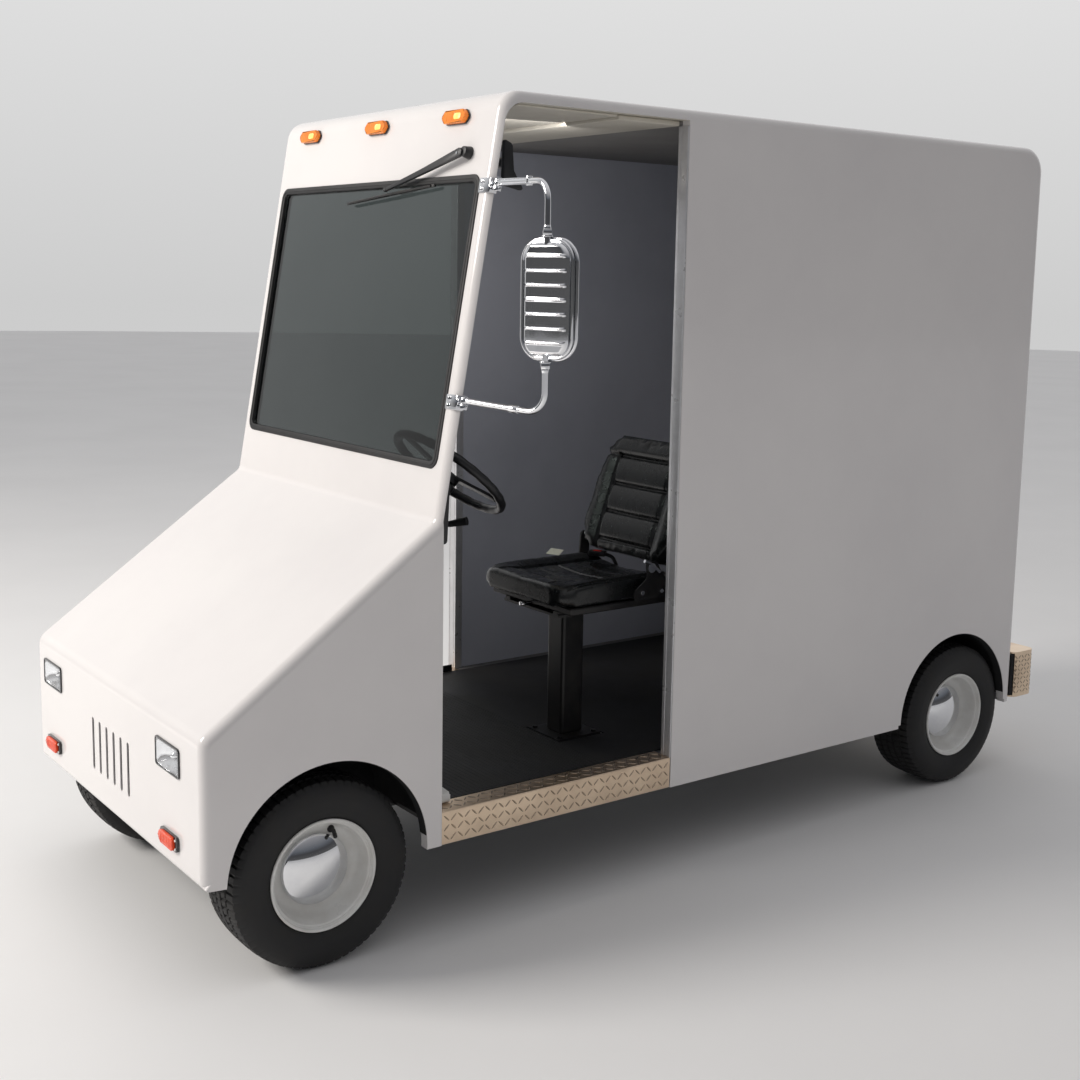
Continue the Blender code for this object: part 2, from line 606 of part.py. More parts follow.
def windshield():
    low, high = up_screen(GLASS_LOW_Z) + GAP, up_screen(GLASS_TOP_Z) - GAP
    wide = GLASS_HALF - GAP
    band = GASKET_BAND
    gasket = slab([rectangle(-wide, wide, low, high, GLASS_CORNER - GAP),
                   rectangle(-wide + band, wide - band, low + band, high - band, 0.018)],
                  -0.030, 0.004, SCREEN)
    node("windshield_gasket", gasket, RUBBER)
    band += GAP
    glass = slab([rectangle(-wide + band, wide - band, low + band, high - band, 0.018 - GAP)],
                 -0.012, -0.006, SCREEN)
    node("windshield_glass", glass, GLASS)


def wiper():
    pivot = on_screen(WIPER_X, WIPER_Z)
    cap = rod(on_screen(WIPER_X, WIPER_Z, GAP), on_screen(WIPER_X, WIPER_Z, 0.030), 0.021, 0.016)
    arm = tube([on_screen(WIPER_X, WIPER_Z, 0.020), on_screen(0.400, 2.137, 0.030),
                on_screen(0.190, 2.092, 0.030), on_screen(0.130, 2.074, 0.0235)], 0.0065)
    node("wiper_arm", join(cap, arm), PLASTIC, pivot)
    blade = slab([rectangle(-0.250, 0.250, -0.007, 0.007, 0.004)], 0.0055, 0.0160,
                 SCREEN @ Matrix.Translation((0.128, up_screen(2.062), 0.0))
                 @ Matrix.Rotation(math.radians(4.5), 4, "Z"))
    node("wiper_blade", blade, RUBBER, pivot)


def sill_and_jambs():
    x0, x1 = 0.6405, HALF_WIDTH
    y0, y1 = DOOR_FRONT_Y + 0.0005, DOOR_REAR_Y - GAP
    z0, z1 = 0.272, FLOOR_Z + GAP
    angle = [(x0, z0), (x1, z0), (x1, z1 + 0.003), (0.570, z1 + 0.003), (0.570, z1), (x0, z1)]
    sill = bar([angle], y0, y1)
    node("sill_plate_left", sill, ALUMINIUM)
    node("sill_plate_right", mirrored(sill), ALUMINIUM)
    front, web = DOOR_REAR_Y, 0.0034
    channel = [(HALF_WIDTH - 0.045, front), (HALF_WIDTH - 0.001, front),
               (HALF_WIDTH - 0.001, front + web), (HALF_WIDTH - WALL - 0.001, front + web),
               (HALF_WIDTH - WALL - 0.001, front + 0.030), (HALF_WIDTH - 0.045, front + 0.030)]
    jamb = slab([channel], FLOOR_Z + 0.001, DOOR_TOP_Z - 0.016)
    node("door_jamb_right", mirrored(jamb), ALUMINIUM)
    node("door_jamb_left", jamb, ALUMINIUM)


def rear_bumper():
    plan = rectangle(-HALF_WIDTH, HALF_WIDTH, 1.609, 1.737, 0.030)
    hollow = rectangle(-HALF_WIDTH + 0.006, HALF_WIDTH - 0.006, 1.590, 1.731, 0.024)
    body = cut(slab([plan], 0.279, 0.455), slab([hollow], 0.285, 0.449))
    node("rear_bumper", body, ALUMINIUM)


def rear_door():
    x, low, high = REAR_DOOR_X - 0.002, REAR_DOOR_LOW + 0.003, REAR_DOOR_HIGH - 0.002
    panel = block((-x, REAR_Y - 0.028, low), (x, REAR_Y + 0.001, high))
    pin_x, pin_y = REAR_PIN
    knuckles = []
    bores = []
    for z in (0.620, 1.284, 1.940):
        knuckles.append(rod((pin_x, pin_y, z + 0.0005), (pin_x, pin_y, z + 0.030), 0.012))
        knuckles.append(block((x - 0.060, REAR_Y + 0.0004, z + 0.001),
                              (pin_x - 0.008, pin_y + 0.006, z + 0.029)))
        bores.append(rod((pin_x, pin_y, z - 0.010), (pin_x, pin_y, z + 0.060), 0.0056, sides=12))
    panel = cut(join(panel, *knuckles), *bores)
    handle_x, handle_z = -0.420, 1.050
    socket = rod((handle_x, 1.5, handle_z), (handle_x, 1.7, handle_z), 0.0085, sides=16)
    node("rear_door", cut(panel, socket), WHITE, (pin_x, pin_y, 1.284))
    shaft = rod((handle_x, 1.560, handle_z), (handle_x, 1.622, handle_z), 0.008, sides=16)
    boss = rod((handle_x, REAR_Y + 0.0014, handle_z), (handle_x, 1.616, handle_z), 0.024)
    lever = block((handle_x - 0.012, 1.614, handle_z - 0.120),
                  (handle_x + 0.012, 1.628, handle_z + 0.012), 0.004)
    node("rear_door_handle", join(boss, shaft, lever), CHROME, (handle_x, REAR_Y, handle_z))


# ---------------------------------------------------------------- mirror
def pivot_point(z, along=0.0):
    return SCREEN @ Vector((PIVOT_X, up_screen(z) + along, PIVOT_OUT))


def mirror_outline(trim_x, trim_y):
    """The mirror's upright outline, drawn in by a distance on each side."""
    half_wide, half_high = MIRROR_WIDTH / 2.0 - trim_x, MIRROR_HEIGHT / 2.0 - trim_y
    return rectangle(-half_wide, half_wide, -half_high, half_high, MIRROR_CORNER - trim_x, 6)


def mirror():
    upright = Matrix.Rotation(-math.pi / 2.0, 4, "X")
    for z, place in ((CLAMP_LOW_Z, "lower"), (CLAMP_HIGH_Z, "upper")):
        height = up_screen(z)
        strap = [(0.598, 0.0004), (HALF_WIDTH + 0.0004, 0.0004), (HALF_WIDTH + 0.0004, -0.0175),
                 (0.618, -0.0175), (0.618, -0.0215), (HALF_WIDTH + 0.0045, -0.0215),
                 (HALF_WIDTH + 0.0045, 0.0045), (0.598, 0.0045)]
        placed = SCREEN @ Matrix.Translation((0.0, height, 0.0)) @ upright
        strap = slab([[(x, -out) for x, out in strap]], -0.020, 0.020, placed)
        lug = block((HALF_WIDTH + 0.002, height - 0.015, PIVOT_OUT - 0.006),
                    (PIVOT_X, height - 0.002, PIVOT_OUT + 0.006))
        lug.transform(SCREEN)
        boss = rod(pivot_point(z, -0.016), pivot_point(z, -0.001), 0.011)
        pin = rod(pivot_point(z, -0.010), pivot_point(z, 0.020), 0.005, sides=12)
        bolt = rod(SCREEN @ Vector((0.612, height, 0.002)), SCREEN @ Vector((0.612, height, 0.012)),
                   0.007, sides=6)
        node(f"mirror_clamp_{place}", join(strap, lug, boss, pin, bolt), CHROME)

    low, high = pivot_point(CLAMP_LOW_Z, 0.008), pivot_point(CLAMP_HIGH_Z, 0.008)
    start = low + Vector((0.009, 0.002, 0.0))
    finish = high + Vector((0.009, 0.000, 0.0))
    path = bent([start, (MIRROR_X, MIRROR_Y, low.z - 0.018), (MIRROR_X, MIRROR_Y, high.z - 0.004), finish],
                0.050)
    arm = tube(path, 0.008)
    rings = [rod(pivot_point(z, -0.0002), pivot_point(z, 0.016), 0.011) for z in (CLAMP_LOW_Z, CLAMP_HIGH_Z)]
    nuts = [rod((MIRROR_X, MIRROR_Y, MIRROR_Z + d * (MIRROR_HEIGHT / 2.0 + 0.003)),
                (MIRROR_X, MIRROR_Y, MIRROR_Z + d * (MIRROR_HEIGHT / 2.0 + 0.019)), 0.013, sides=6)
            for d in (-1.0, 1.0)]
    bores = [rod(pivot_point(z, -0.02), pivot_point(z, 0.05), 0.0056, sides=12)
             for z in (CLAMP_LOW_Z, CLAMP_HIGH_Z)]
    node("mirror_arm", cut(join(arm, *rings, *nuts), *bores), CHROME, tuple(low))

    # Head: local X across the head, local Y up, local Z towards the ribbed back.
    facing = Matrix.Translation((MIRROR_X, MIRROR_Y, MIRROR_Z)) @ Matrix.Rotation(
        MIRROR_YAW, 4, "Z") @ Matrix.Rotation(math.pi / 2.0, 4, "X")
    skin = 0.004
    rim = slab([mirror_outline(0.0, 0.0)], -0.0160, -0.0090, facing)
    back = slab([mirror_outline(BACK_TRIM_X, BACK_TRIM_Y)], -0.0150, 0.0130, facing)
    hollow = slab([mirror_outline(BACK_TRIM_X + skin, BACK_TRIM_Y + skin)], -0.0300, 0.0130 - skin, facing)
    bore = rod((MIRROR_X, MIRROR_Y, 1.5), (MIRROR_X, MIRROR_Y, 2.0), 0.0086, sides=16)
    node("mirror_head", cut(join(rim, back), hollow, bore), CHROME, (MIRROR_X, MIRROR_Y, MIRROR_Z))
    glass = slab([mirror_outline(0.006, 0.006)], -0.0193, -0.0163, facing)
    node("mirror_glass", glass, SILVERED, (MIRROR_X, MIRROR_Y, MIRROR_Z))


# ---------------------------------------------------------------- driver's controls
def dashboard():
    outline = [(-0.9275, 1.105), (-0.893, 1.105), (-0.885, 1.275), (-0.905, 1.275), (-0.9275, 1.172)]
    node("dashboard", slab([outline], -0.580, 0.580, SIDEWAYS), PLASTIC)


def steering():
    toe = WHEEL_CENTRE - COLUMN_AXIS * 0.480
    column = rod(WHEEL_CENTRE - COLUMN_AXIS * 0.034, toe, 0.024)
    shroud = rod(WHEEL_CENTRE - COLUMN_AXIS * 0.036, WHEEL_CENTRE - COLUMN_AXIS * 0.245, 0.040, 0.034)
    foot = block((SEAT_X - 0.060, -0.9497, 0.870), (SEAT_X + 0.060, -0.944, 0.990))
    column = keep(join(column, shroud, foot), block((0.0, -0.9497, 0.7), (0.6, -0.4, 1.4)))
    lever_root = WHEEL_CENTRE - COLUMN_AXIS * 0.210 + Vector((0.030, 0.0, 0.0))
    socket = rod(lever_root - Vector((0.02, 0, 0)), lever_root + Vector((0.05, 0, 0)), 0.014)
    node("steering_column", cut(column, socket), PLASTIC)
    tip = Vector((0.400, -0.714, 1.128))
    grip = tip + (lever_root - tip) * 0.35
    lever = join(tube([lever_root, lever_root + Vector((0.030, 0.006, 0.004)), tip], 0.0065),
                 rod(grip, tip, 0.009, 0.013))
    node("signal_lever", lever, PLASTIC, tuple(lever_root))

    face = COLUMN_AXIS.to_track_quat("Z", "Y").to_matrix().to_4x4()
    placed = Matrix.Translation(WHEEL_CENTRE) @ face
    ring = [(STEERING_R * math.cos(a), STEERING_R * math.sin(a), 0.0)
            for a in [2.0 * math.pi * i / 28 for i in range(28)]]
    rim = tube(ring, 0.014, 2, True)
    rim.transform(placed)
    hub = rod(WHEEL_CENTRE - COLUMN_AXIS * 0.033, WHEEL_CENTRE - COLUMN_AXIS * 0.002, 0.038, 0.032)
    spokes = []
    for degrees in (90.0, 210.0, 330.0):
        spoke = block((0.020, -0.016, -0.014), (STEERING_R - 0.004, 0.016, -0.004))
        spoke.transform(placed @ Matrix.Rotation(math.radians(degrees), 4, "Z"))
        spokes.append(spoke)
    node("steering_wheel", join(hub, rim, *spokes), PLASTIC, tuple(WHEEL_CENTRE))


def pedal(name, x, width, height, pad_z):
    """A hanging pedal: pin between two ears, arm and pad."""
    pin_y, pin_z = PEDAL_PIN_Y, PEDAL_PIN_Z
    pin = rod((x - 0.0265, pin_y, pin_z), (x + 0.0265, pin_y, pin_z), 0.009, sides=16)
    arm = tube([(x, pin_y, pin_z), (x, -0.895, pin_z - 0.060), (x, PAD_Y - 0.002, pad_z)], 0.007)
    pad = block((-width / 2, -0.008, -height / 2), (width / 2, 0.004, height / 2), 0.003)
    pad.transform(Matrix.Translation((x, PAD_Y, pad_z)) @ Matrix.Rotation(math.radians(-22.0), 4, "X"))
    node(name, join(pin, arm, pad), BLACK_STEEL, (x, pin_y, pin_z))


# ---------------------------------------------------------------- seat
def seat():
    low = FLOOR_Z + GAP
    foot = block((SEAT_X - 0.085, PEDESTAL_Y - 0.085, low), (SEAT_X + 0.085, PEDESTAL_Y + 0.085, low + 0.008))
    post = block((SEAT_X - 0.043, PEDESTAL_Y - 0.043, low + 0.004),
                 (SEAT_X + 0.043, PEDESTAL_Y + 0.043, SEAT_BASE_Z - 0.014), 0.010)
    plate = block((SEAT_X - 0.150, PEDESTAL_Y - 0.140, SEAT_BASE_Z - 0.018),
                  (SEAT_X + 0.150, PEDESTAL_Y + 0.140, SEAT_BASE_Z - 0.010))
    rails = []
    bolts = []
    for side in (-1.0, 1.0):
        x = SEAT_X + side * 0.130
        rails.append(block((x - 0.012, PEDESTAL_Y - 0.140, SEAT_BASE_Z - 0.012),
                           (x + 0.012, PEDESTAL_Y + 0.140, SEAT_BASE_Z - GAP)))
        for end in (-1.0, 1.0):
            place = (SEAT_X + side * 0.068, PEDESTAL_Y + end * 0.068)
            bolts.append(rod((*place, low + 0.006), (*place, low + 0.014), 0.009, sides=6))
    node("seat_pedestal", join(foot, post, plate, *rails, *bolts), BLACK_STEEL)

    hinge_y, hinge_z = BACK_HINGE[1], BACK_HINGE[2]
    base = block((SEAT_X - 0.215, -0.370, SEAT_BASE_Z), (SEAT_X + 0.215, 0.050, CUSHION_Z - 0.001), 0.004, 1)
    arms = [block((SEAT_X - 0.2500, 0.007, SEAT_BASE_Z + 0.005), (SEAT_X + 0.2500, 0.048, CUSHION_Z - 0.004))]
    holes = []
    for side in (-1.0, 1.0):
        x0, x1 = sorted((SEAT_X + side * 0.2465, SEAT_X + side * 0.2530))
        arms.append(slab([rounded([(0.005, SEAT_BASE_Z + 0.004), (0.050, SEAT_BASE_Z + 0.004),
                                   (hinge_y + 0.018, hinge_z + 0.018), (hinge_y - 0.018, hinge_z + 0.018)],
                                  [0, 0, 0.015, 0.015])], x0, x1, SIDEWAYS))
    holes.append(rod((SEAT_X - 0.3, hinge_y, hinge_z), (SEAT_X + 0.3, hinge_y, hinge_z), 0.0088, sides=16))
    node("seat_base", cut(join(base, *arms), *holes), BLACK_STEEL, (SEAT_X, -0.160, SEAT_BASE_Z))

    cushion = block((SEAT_X - 0.235, -0.425, CUSHION_Z), (SEAT_X + 0.235, 0.042, CUSHION_TOP_Z),
                    0.024, 3)
    node("seat_cushion", cushion, VINYL, (SEAT_X, -0.160, SEAT_BASE_Z))

    back = block((-0.215, -0.040, -0.042), (0.215, 0.040, 0.372), 0.028, 3)
    pin = rod((-0.2555, 0.0, 0.0), (0.2555, 0.0, 0.0), 0.008, sides=16)
    back = join(back, pin)
    back.transform(Matrix.Translation(BACK_HINGE) @ Matrix.Rotation(-BACK_LEAN, 4, "X"))
    node("seat_back", back, VINYL, BACK_HINGE)


moulded_body()
floor_and_chassis()
axles()
wheels()
lamps()
windshield()
wiper()
sill_and_jambs()
rear_bumper()
rear_door()
mirror()
dashboard()
steering()
pedal("brake_pedal", BRAKE_X, 0.070, 0.055, 0.500)
pedal("accelerator_pedal", ACCELERATOR_X, 0.050, 0.110, 0.480)
seat()
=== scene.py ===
"""Looks of the mail delivery truck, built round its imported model.

Vehicle coordinates are used all through, as in the part's own source: the front faces -Y, the
vehicle's left side is +X, the ground is z = 0 and y = 0 is midway between the axles.  DATUM
carries them into the frame's coordinates.
"""
import math

import bmesh
import bpy
import numpy as np
from mathutils import Matrix, Vector
from mathutils.bvhtree import BVHTree


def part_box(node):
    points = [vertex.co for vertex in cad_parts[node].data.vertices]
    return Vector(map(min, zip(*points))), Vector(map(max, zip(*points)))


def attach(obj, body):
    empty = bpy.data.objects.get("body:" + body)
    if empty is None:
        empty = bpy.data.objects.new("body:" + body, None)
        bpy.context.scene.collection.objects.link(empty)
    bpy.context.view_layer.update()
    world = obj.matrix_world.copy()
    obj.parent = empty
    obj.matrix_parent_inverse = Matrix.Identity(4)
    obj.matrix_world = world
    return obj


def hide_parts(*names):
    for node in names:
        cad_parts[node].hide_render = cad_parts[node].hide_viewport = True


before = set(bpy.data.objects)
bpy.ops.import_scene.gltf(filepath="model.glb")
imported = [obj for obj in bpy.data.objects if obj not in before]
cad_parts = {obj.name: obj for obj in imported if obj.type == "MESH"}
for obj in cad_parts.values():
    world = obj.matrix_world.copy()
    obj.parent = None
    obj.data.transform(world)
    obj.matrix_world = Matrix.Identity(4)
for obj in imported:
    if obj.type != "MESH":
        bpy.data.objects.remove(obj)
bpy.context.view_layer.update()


# ---------------------------------------------------------------- places taken from the frame
def centre_of(node):
    low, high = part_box(node)
    return (low + high) / 2.0


DATUM = Vector((centre_of("roof_panel").x,
                (centre_of("tyre_front_left").y + centre_of("tyre_rear_left").y) / 2.0, 0.0))


def box(node):
    """A node's lowest and highest corner in vehicle coordinates."""
    low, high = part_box(node)
    return low - DATUM, high - DATUM


HALF_WIDTH = box("roof_panel")[1].x
ROOF_Z = box("roof_panel")[1].z
REAR_Y = box("roof_panel")[1].y
NOSE_Y, NOSE_LOW_Z = box("front_cowl")[0].y, 0.305
SKIRT_Z = box("side_panel_left")[0].z
WHEEL_X = centre_of("tyre_front_left").x - DATUM.x
WHEEL_Y = centre_of("tyre_rear_left").y - DATUM.y
WHEEL_Z = centre_of("tyre_front_left").z
TYRE_R = WHEEL_Z
DOOR_FRONT_Y, DOOR_REAR_Y = -0.946, box("door_jamb_left")[0].y

# The moulding's own shape, as the part's source gives it
WALL, EDGE = 0.033, 0.028
NOSE_TOP_Z = 0.69
COWL_Y, COWL_Z, LEAN = -0.963, 1.18, 0.173
ARCH_R = 0.293
FRONT_ARCH, REAR_ARCH = (-1.285, 0.282), (1.262, 0.282)
LEAN_ANGLE = math.atan(LEAN)
SCREEN = Matrix.Translation((0.0, COWL_Y, COWL_Z)) @ Matrix.Rotation(
    math.pi / 2.0 - LEAN_ANGLE, 4, "X")
GLASS_LOW_Z, GLASS_TOP_Z, GLASS_HALF = 1.315, 2.107, 0.595
REAR_DOOR = (0.5, 0.468, 2.1)
LOUVRE_HALF, LOUVRE_LOW_Z, LOUVRE_TOP_Z = 0.0085, 0.4, 0.555
LOUVRE_MIDDLES = [side * (0.028 + 0.0555 * number) for side in (1.0, -1.0) for number in range(3)]
SIDES = ((1.0, "left"), (-1.0, "right"))
SIDEWAYS = Matrix(((0, 0, 1, 0), (1, 0, 0, 0), (0, 1, 0, 0), (0, 0, 0, 1)))
LENGTHWAYS = Matrix(((1, 0, 0, 0), (0, 0, -1, 0), (0, 1, 0, 0), (0, 0, 0, 1)))


def up_screen(z):
    """How far up the leaning screen a height is."""
    return (z - COWL_Z) / math.cos(LEAN_ANGLE)


def on_screen(x, z, out=0.0):
    """The point of the screen at a place across and a height, or out from it."""
    return SCREEN @ Vector((x, up_screen(z), out))


# ---------------------------------------------------------------- materials
def linked(tree, kind, **sockets):
    """A new node with values set on its sockets."""
    made = tree.nodes.new(kind)
    for name, value in sockets.items():
        made.inputs[name.replace("_", " ")].default_value = value
    return made


def ranged(tree, value, low, high, to_low=0.0, to_high=1.0):
    """A Map Range node fed by a socket."""
    made = linked(tree, "ShaderNodeMapRange", From_Min=low, From_Max=high, To_Min=to_low,
                  To_Max=to_high)
    tree.links.new(value, made.inputs["Value"])
    return made


def finish(name, colour, roughness, metallic=0.0, second=None, patch=6.0, spread=0.06,
           grain=0.0, grain_size=260.0, wave=0.0, wave_size=2.0, **sockets):
    """A Principled material whose colour and roughness drift over patches, with grain and waviness.

    grain and wave are bump heights in metres; the sizes are the noises' scales.
    """
    made = bpy.data.materials.new(name)
    made.use_nodes = True
    tree = made.node_tree
    shader = tree.nodes["Principled BSDF"]
    place = linked(tree, "ShaderNodeTexCoord").outputs["Object"]
    drift = linked(tree, "ShaderNodeTexNoise", Scale=patch, Detail=5.0, Roughness=0.6)
    tree.links.new(place, drift.inputs["Vector"])
    second = second or tuple(c * 0.88 for c in colour)
    blend = linked(tree, "ShaderNodeMix")
    blend.data_type = "RGBA"
    blend.inputs["A"].default_value = (*colour, 1.0)
    blend.inputs["B"].default_value = (*second, 1.0)
    sharp = ranged(tree, drift.outputs["Fac"], 0.42, 0.68)
    tree.links.new(sharp.outputs["Result"], blend.inputs["Factor"])
    tree.links.new(blend.outputs["Result"], shader.inputs["Base Color"])
    rough = ranged(tree, drift.outputs["Fac"], 0.3, 0.7, max(0.0, roughness - spread),
                   min(1.0, roughness + spread))
    tree.links.new(rough.outputs["Result"], shader.inputs["Roughness"])
    shader.inputs["Metallic"].default_value = metallic
    normal = None
    for height, size, detail in ((wave, wave_size, 1.0), (grain, grain_size, 4.0)):
        if height <= 0.0:
            continue
        noise = linked(tree, "ShaderNodeTexNoise", Scale=size, Detail=detail)
        tree.links.new(place, noise.inputs["Vector"])
        bump = linked(tree, "ShaderNodeBump", Strength=1.0, Distance=height)
        tree.links.new(noise.outputs["Fac"], bump.inputs["Height"])
        if normal:
            tree.links.new(normal, bump.inputs["Normal"])
        normal = bump.outputs["Normal"]
    if normal:
        tree.links.new(normal, shader.inputs["Normal"])
    for name, value in sockets.items():
        shader.inputs[name.replace("_", " ")].default_value = value
    return made


WHITE = finish("gelcoat_white", (0.8, 0.775, 0.765), 0.16, second=(0.76, 0.735, 0.73), patch=1.4,
               spread=0.04, wave=0.0022, wave_size=1.3, Coat_Weight=0.35, Coat_Roughness=0.06)
# The inside of the white shell, coloured a darker bluish grey as painted shade.
INSIDE_PAINTED_SHADE = finish("inside_painted_shade_grey", (0.56, 0.58, 0.65), 0.36, second=(0.49, 0.51, 0.58), patch=1.6,
                grain=0.0003, grain_size=90.0)
CREAM = finish("lining_cream", (0.72, 0.68, 0.6), 0.5, second=(0.64, 0.6, 0.52), patch=2.5,
               grain=0.0002, grain_size=120.0)
# Dark grey on the cargo ceiling is painted shade at the back of the roof.
CARGO_CEILING_PAINTED_SHADE = finish("cargo_ceiling_painted_shade", (0.26, 0.25, 0.24), 0.6, patch=3.0, grain=0.0003)
# Black of the wheel wells, louvre screen and bumper backing; the same black is painted shade on the louvre
# fins and the arch edges.
DARK_LINER_AND_SHADE = finish("wheel_well_black_and_painted_shade", (0.012, 0.012, 0.013), 0.85, patch=9.0, grain=0.0006,
               grain_size=120.0)
TYRE = finish("tyre_rubber", (0.0095, 0.0095, 0.0105), 0.66, second=(0.017, 0.016, 0.015), patch=14.0,
              grain=0.00025, grain_size=420.0)
RUBBER = finish("black_rubber", (0.014, 0.014, 0.015), 0.55, patch=10.0, grain=0.0002)
MAT = finish("floor_mat_rubber", (0.007, 0.0075, 0.009), 0.66, second=(0.013, 0.0125, 0.012), patch=5.0,
             grain=0.0005, grain_size=240.0)
DECK = finish("deck_paint", (0.1, 0.1, 0.105), 0.42, second=(0.15, 0.14, 0.13), patch=4.0,
              grain=0.0003)
# Tread bars darker than the plate: painted shade on the raised bars, over the same painted warm reflection.
TREAD_BARS_PAINTED_SHADE = finish("tread_bars_painted_shade", (0.4, 0.32, 0.24), 0.3, 1.0, second=(0.31, 0.245, 0.185), patch=9.0,
               spread=0.08)
RIM = finish("rim_enamel", (0.78, 0.78, 0.76), 0.3, second=(0.7, 0.69, 0.66), patch=12.0,
             grain=0.00008, grain_size=300.0, Coat_Weight=0.3)
CHROME = finish("chrome_plate", (0.86, 0.87, 0.89), 0.045, 1.0, second=(0.8, 0.81, 0.84),
                patch=20.0, spread=0.03)
STEEL = finish("black_steel", (0.016, 0.016, 0.017), 0.42, 0.2, second=(0.03, 0.028, 0.026),
               patch=16.0, grain=0.00015)
PLASTIC = finish("black_plastic", (0.014, 0.014, 0.016), 0.36, patch=12.0, grain=0.00012,
                 grain_size=600.0)
GLOSSY = finish("glossy_black", (0.01, 0.01, 0.012), 0.16, patch=12.0, Coat_Weight=0.5)
# The tan of the aluminium tread plate is painted reflection of warm sunlit ground.
PLATE_WITH_PAINTED_REFLECTION = finish("tread_plate_painted_reflection", (0.84, 0.67, 0.5), 0.34, 1.0, second=(0.74, 0.58, 0.43), patch=7.0,
                   spread=0.08, grain=0.0001, grain_size=500.0)
CHANNEL = finish("satin_channel", (0.66, 0.66, 0.68), 0.32, 0.45, patch=18.0)
REFLECTOR = finish("lamp_reflector", (0.92, 0.93, 0.95), 0.1, 1.0, patch=30.0)
# A glowing yellow patch on the marker lenses: painted highlight.
MARKER_GLINT = finish("marker_painted_glint", (0.95, 0.62, 0.16), 0.25, second=(1.0, 0.72, 0.3), patch=60.0,
              Emission_Color=(1.0, 0.62, 0.12, 1.0), Emission_Strength=0.45)
CLEAR = finish("clear_lens", (0.96, 0.97, 0.98), 0.03, second=(0.94, 0.95, 0.96), patch=9.0,
               spread=0.01, Transmission_Weight=1.0, IOR=1.45)
AMBER = finish("amber_lens", (0.98, 0.36, 0.05), 0.12, second=(0.92, 0.28, 0.03), patch=30.0,
               Transmission_Weight=0.35, IOR=1.45, Emission_Color=(1.0, 0.32, 0.03, 1.0),
               Emission_Strength=0.1)
RED = finish("red_lens", (0.88, 0.095, 0.025), 0.14, second=(0.8, 0.07, 0.02), patch=30.0,
             Transmission_Weight=0.2, IOR=1.45, Emission_Color=(1.0, 0.1, 0.02, 1.0),
             Emission_Strength=0.08)
# The dark teal of the glass is partly its own tint and partly painted reflection of dark scenery.
TINTED_GLASS_AND_REFLECTION = finish("tinted_glass", (0.095, 0.112, 0.11), 0.012, second=(0.08, 0.096, 0.095), patch=1.0,
               spread=0.006, Transmission_Weight=1.0, IOR=1.5)
SILVER = finish("silvered_glass", (0.9, 0.92, 0.93), 0.02, 1.0, patch=5.0, spread=0.008)
VINYL = finish("black_vinyl", (0.0055, 0.0065, 0.0068), 0.27, second=(0.0085, 0.0095, 0.0098),
               patch=18.0, grain=0.00022, grain_size=330.0)
PIPING = finish("vinyl_piping", (0.02, 0.021, 0.022), 0.38, patch=30.0)
TAG = finish("blank_tag", (0.8, 0.8, 0.66), 0.6, patch=30.0)
BUTTON = finish("buckle_button", (0.6, 0.03, 0.02), 0.4, patch=30.0)


# ---------------------------------------------------------------- modelling helpers
def mesh_of(cage, placed=None, outward=False):
    """The cage as a mesh, its faces turned outwards if asked, moved by a matrix."""
    if outward:
        bmesh.ops.recalc_face_normals(cage, faces=cage.faces)
    mesh = bpy.data.meshes.new("work")
    cage.to_mesh(mesh)
    cage.free()
    if placed is not None:
        mesh.transform(placed)
    return mesh


def bevelled(cage, edges, width, segments=2):
    """Rounds a cage's edges in place."""
    bmesh.ops.bevel(cage, geom=edges, offset=width, segments=segments, profile=0.5, affect="EDGES")


def from_lists(points, faces, placed=None):
    mesh = bpy.data.meshes.new("work")
    mesh.from_pydata([tuple(p) for p in points], [], [tuple(f) for f in faces])
    mesh.validate()
    cage = bmesh.new()
    cage.from_mesh(mesh)
    return mesh_of(cage, placed, outward=True)


def moved(mesh, matrix):
    mesh.transform(matrix)
    return mesh


def at(place, angle=0.0, axis="Z"):
    """A move to a place after a turn about an axis."""
    return Matrix.Translation(place) @ Matrix.Rotation(angle, 4, axis)


def facing_out(place, axis):
    """Local Z along an axis, at a place."""
    return Matrix.Translation(place) @ Vector(axis).to_track_quat("Z", "Y").to_matrix().to_4x4()


def joined(*meshes):
    """Several meshes as one; loose shells stay loose."""
    cage = bmesh.new()
    for mesh in meshes:
        cage.from_mesh(mesh)
    return mesh_of(cage)


def piece(name, mesh, material, replaces=(), body="truck", sharp=34.0):
    """A named piece from a mesh in vehicle coordinates, with its material or materials."""
    mesh.name = name
    mesh.transform(Matrix.Translation(DATUM))
    made = bpy.data.objects.new(name, mesh)
    bpy.context.scene.collection.objects.link(made)
    mesh.materials.clear()
    materials = [material] if isinstance(material, bpy.types.Material) else material
    for one in materials:
        mesh.materials.append(one)
    mesh.shade_smooth()
    mesh.set_sharp_from_angle(angle=math.radians(sharp))
    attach(made, body)
    if replaces:
        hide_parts(*([replaces] if isinstance(replaces, str) else replaces))
    return made


def evaluated(source):
    """The mesh of an object with its modifiers; the object goes."""
    bpy.context.scene.collection.objects.link(source)
    graph = bpy.context.evaluated_depsgraph_get()
    mesh = bpy.data.meshes.new_from_object(source.evaluated_get(graph))
    bpy.data.objects.remove(source, do_unlink=True)
    return mesh


def arc_of(back, here, ahead, radius):
    """Centre, start and end of the arc that rounds a corner."""
    before, after = (back - here).normalized(), (ahead - here).normalized()
    half = before.angle(after) / 2.0
    centre = here + (before + after).normalized() * (radius / math.sin(half))
    reach = radius / math.tan(half)
    return centre, here + before * reach, here + after * reach


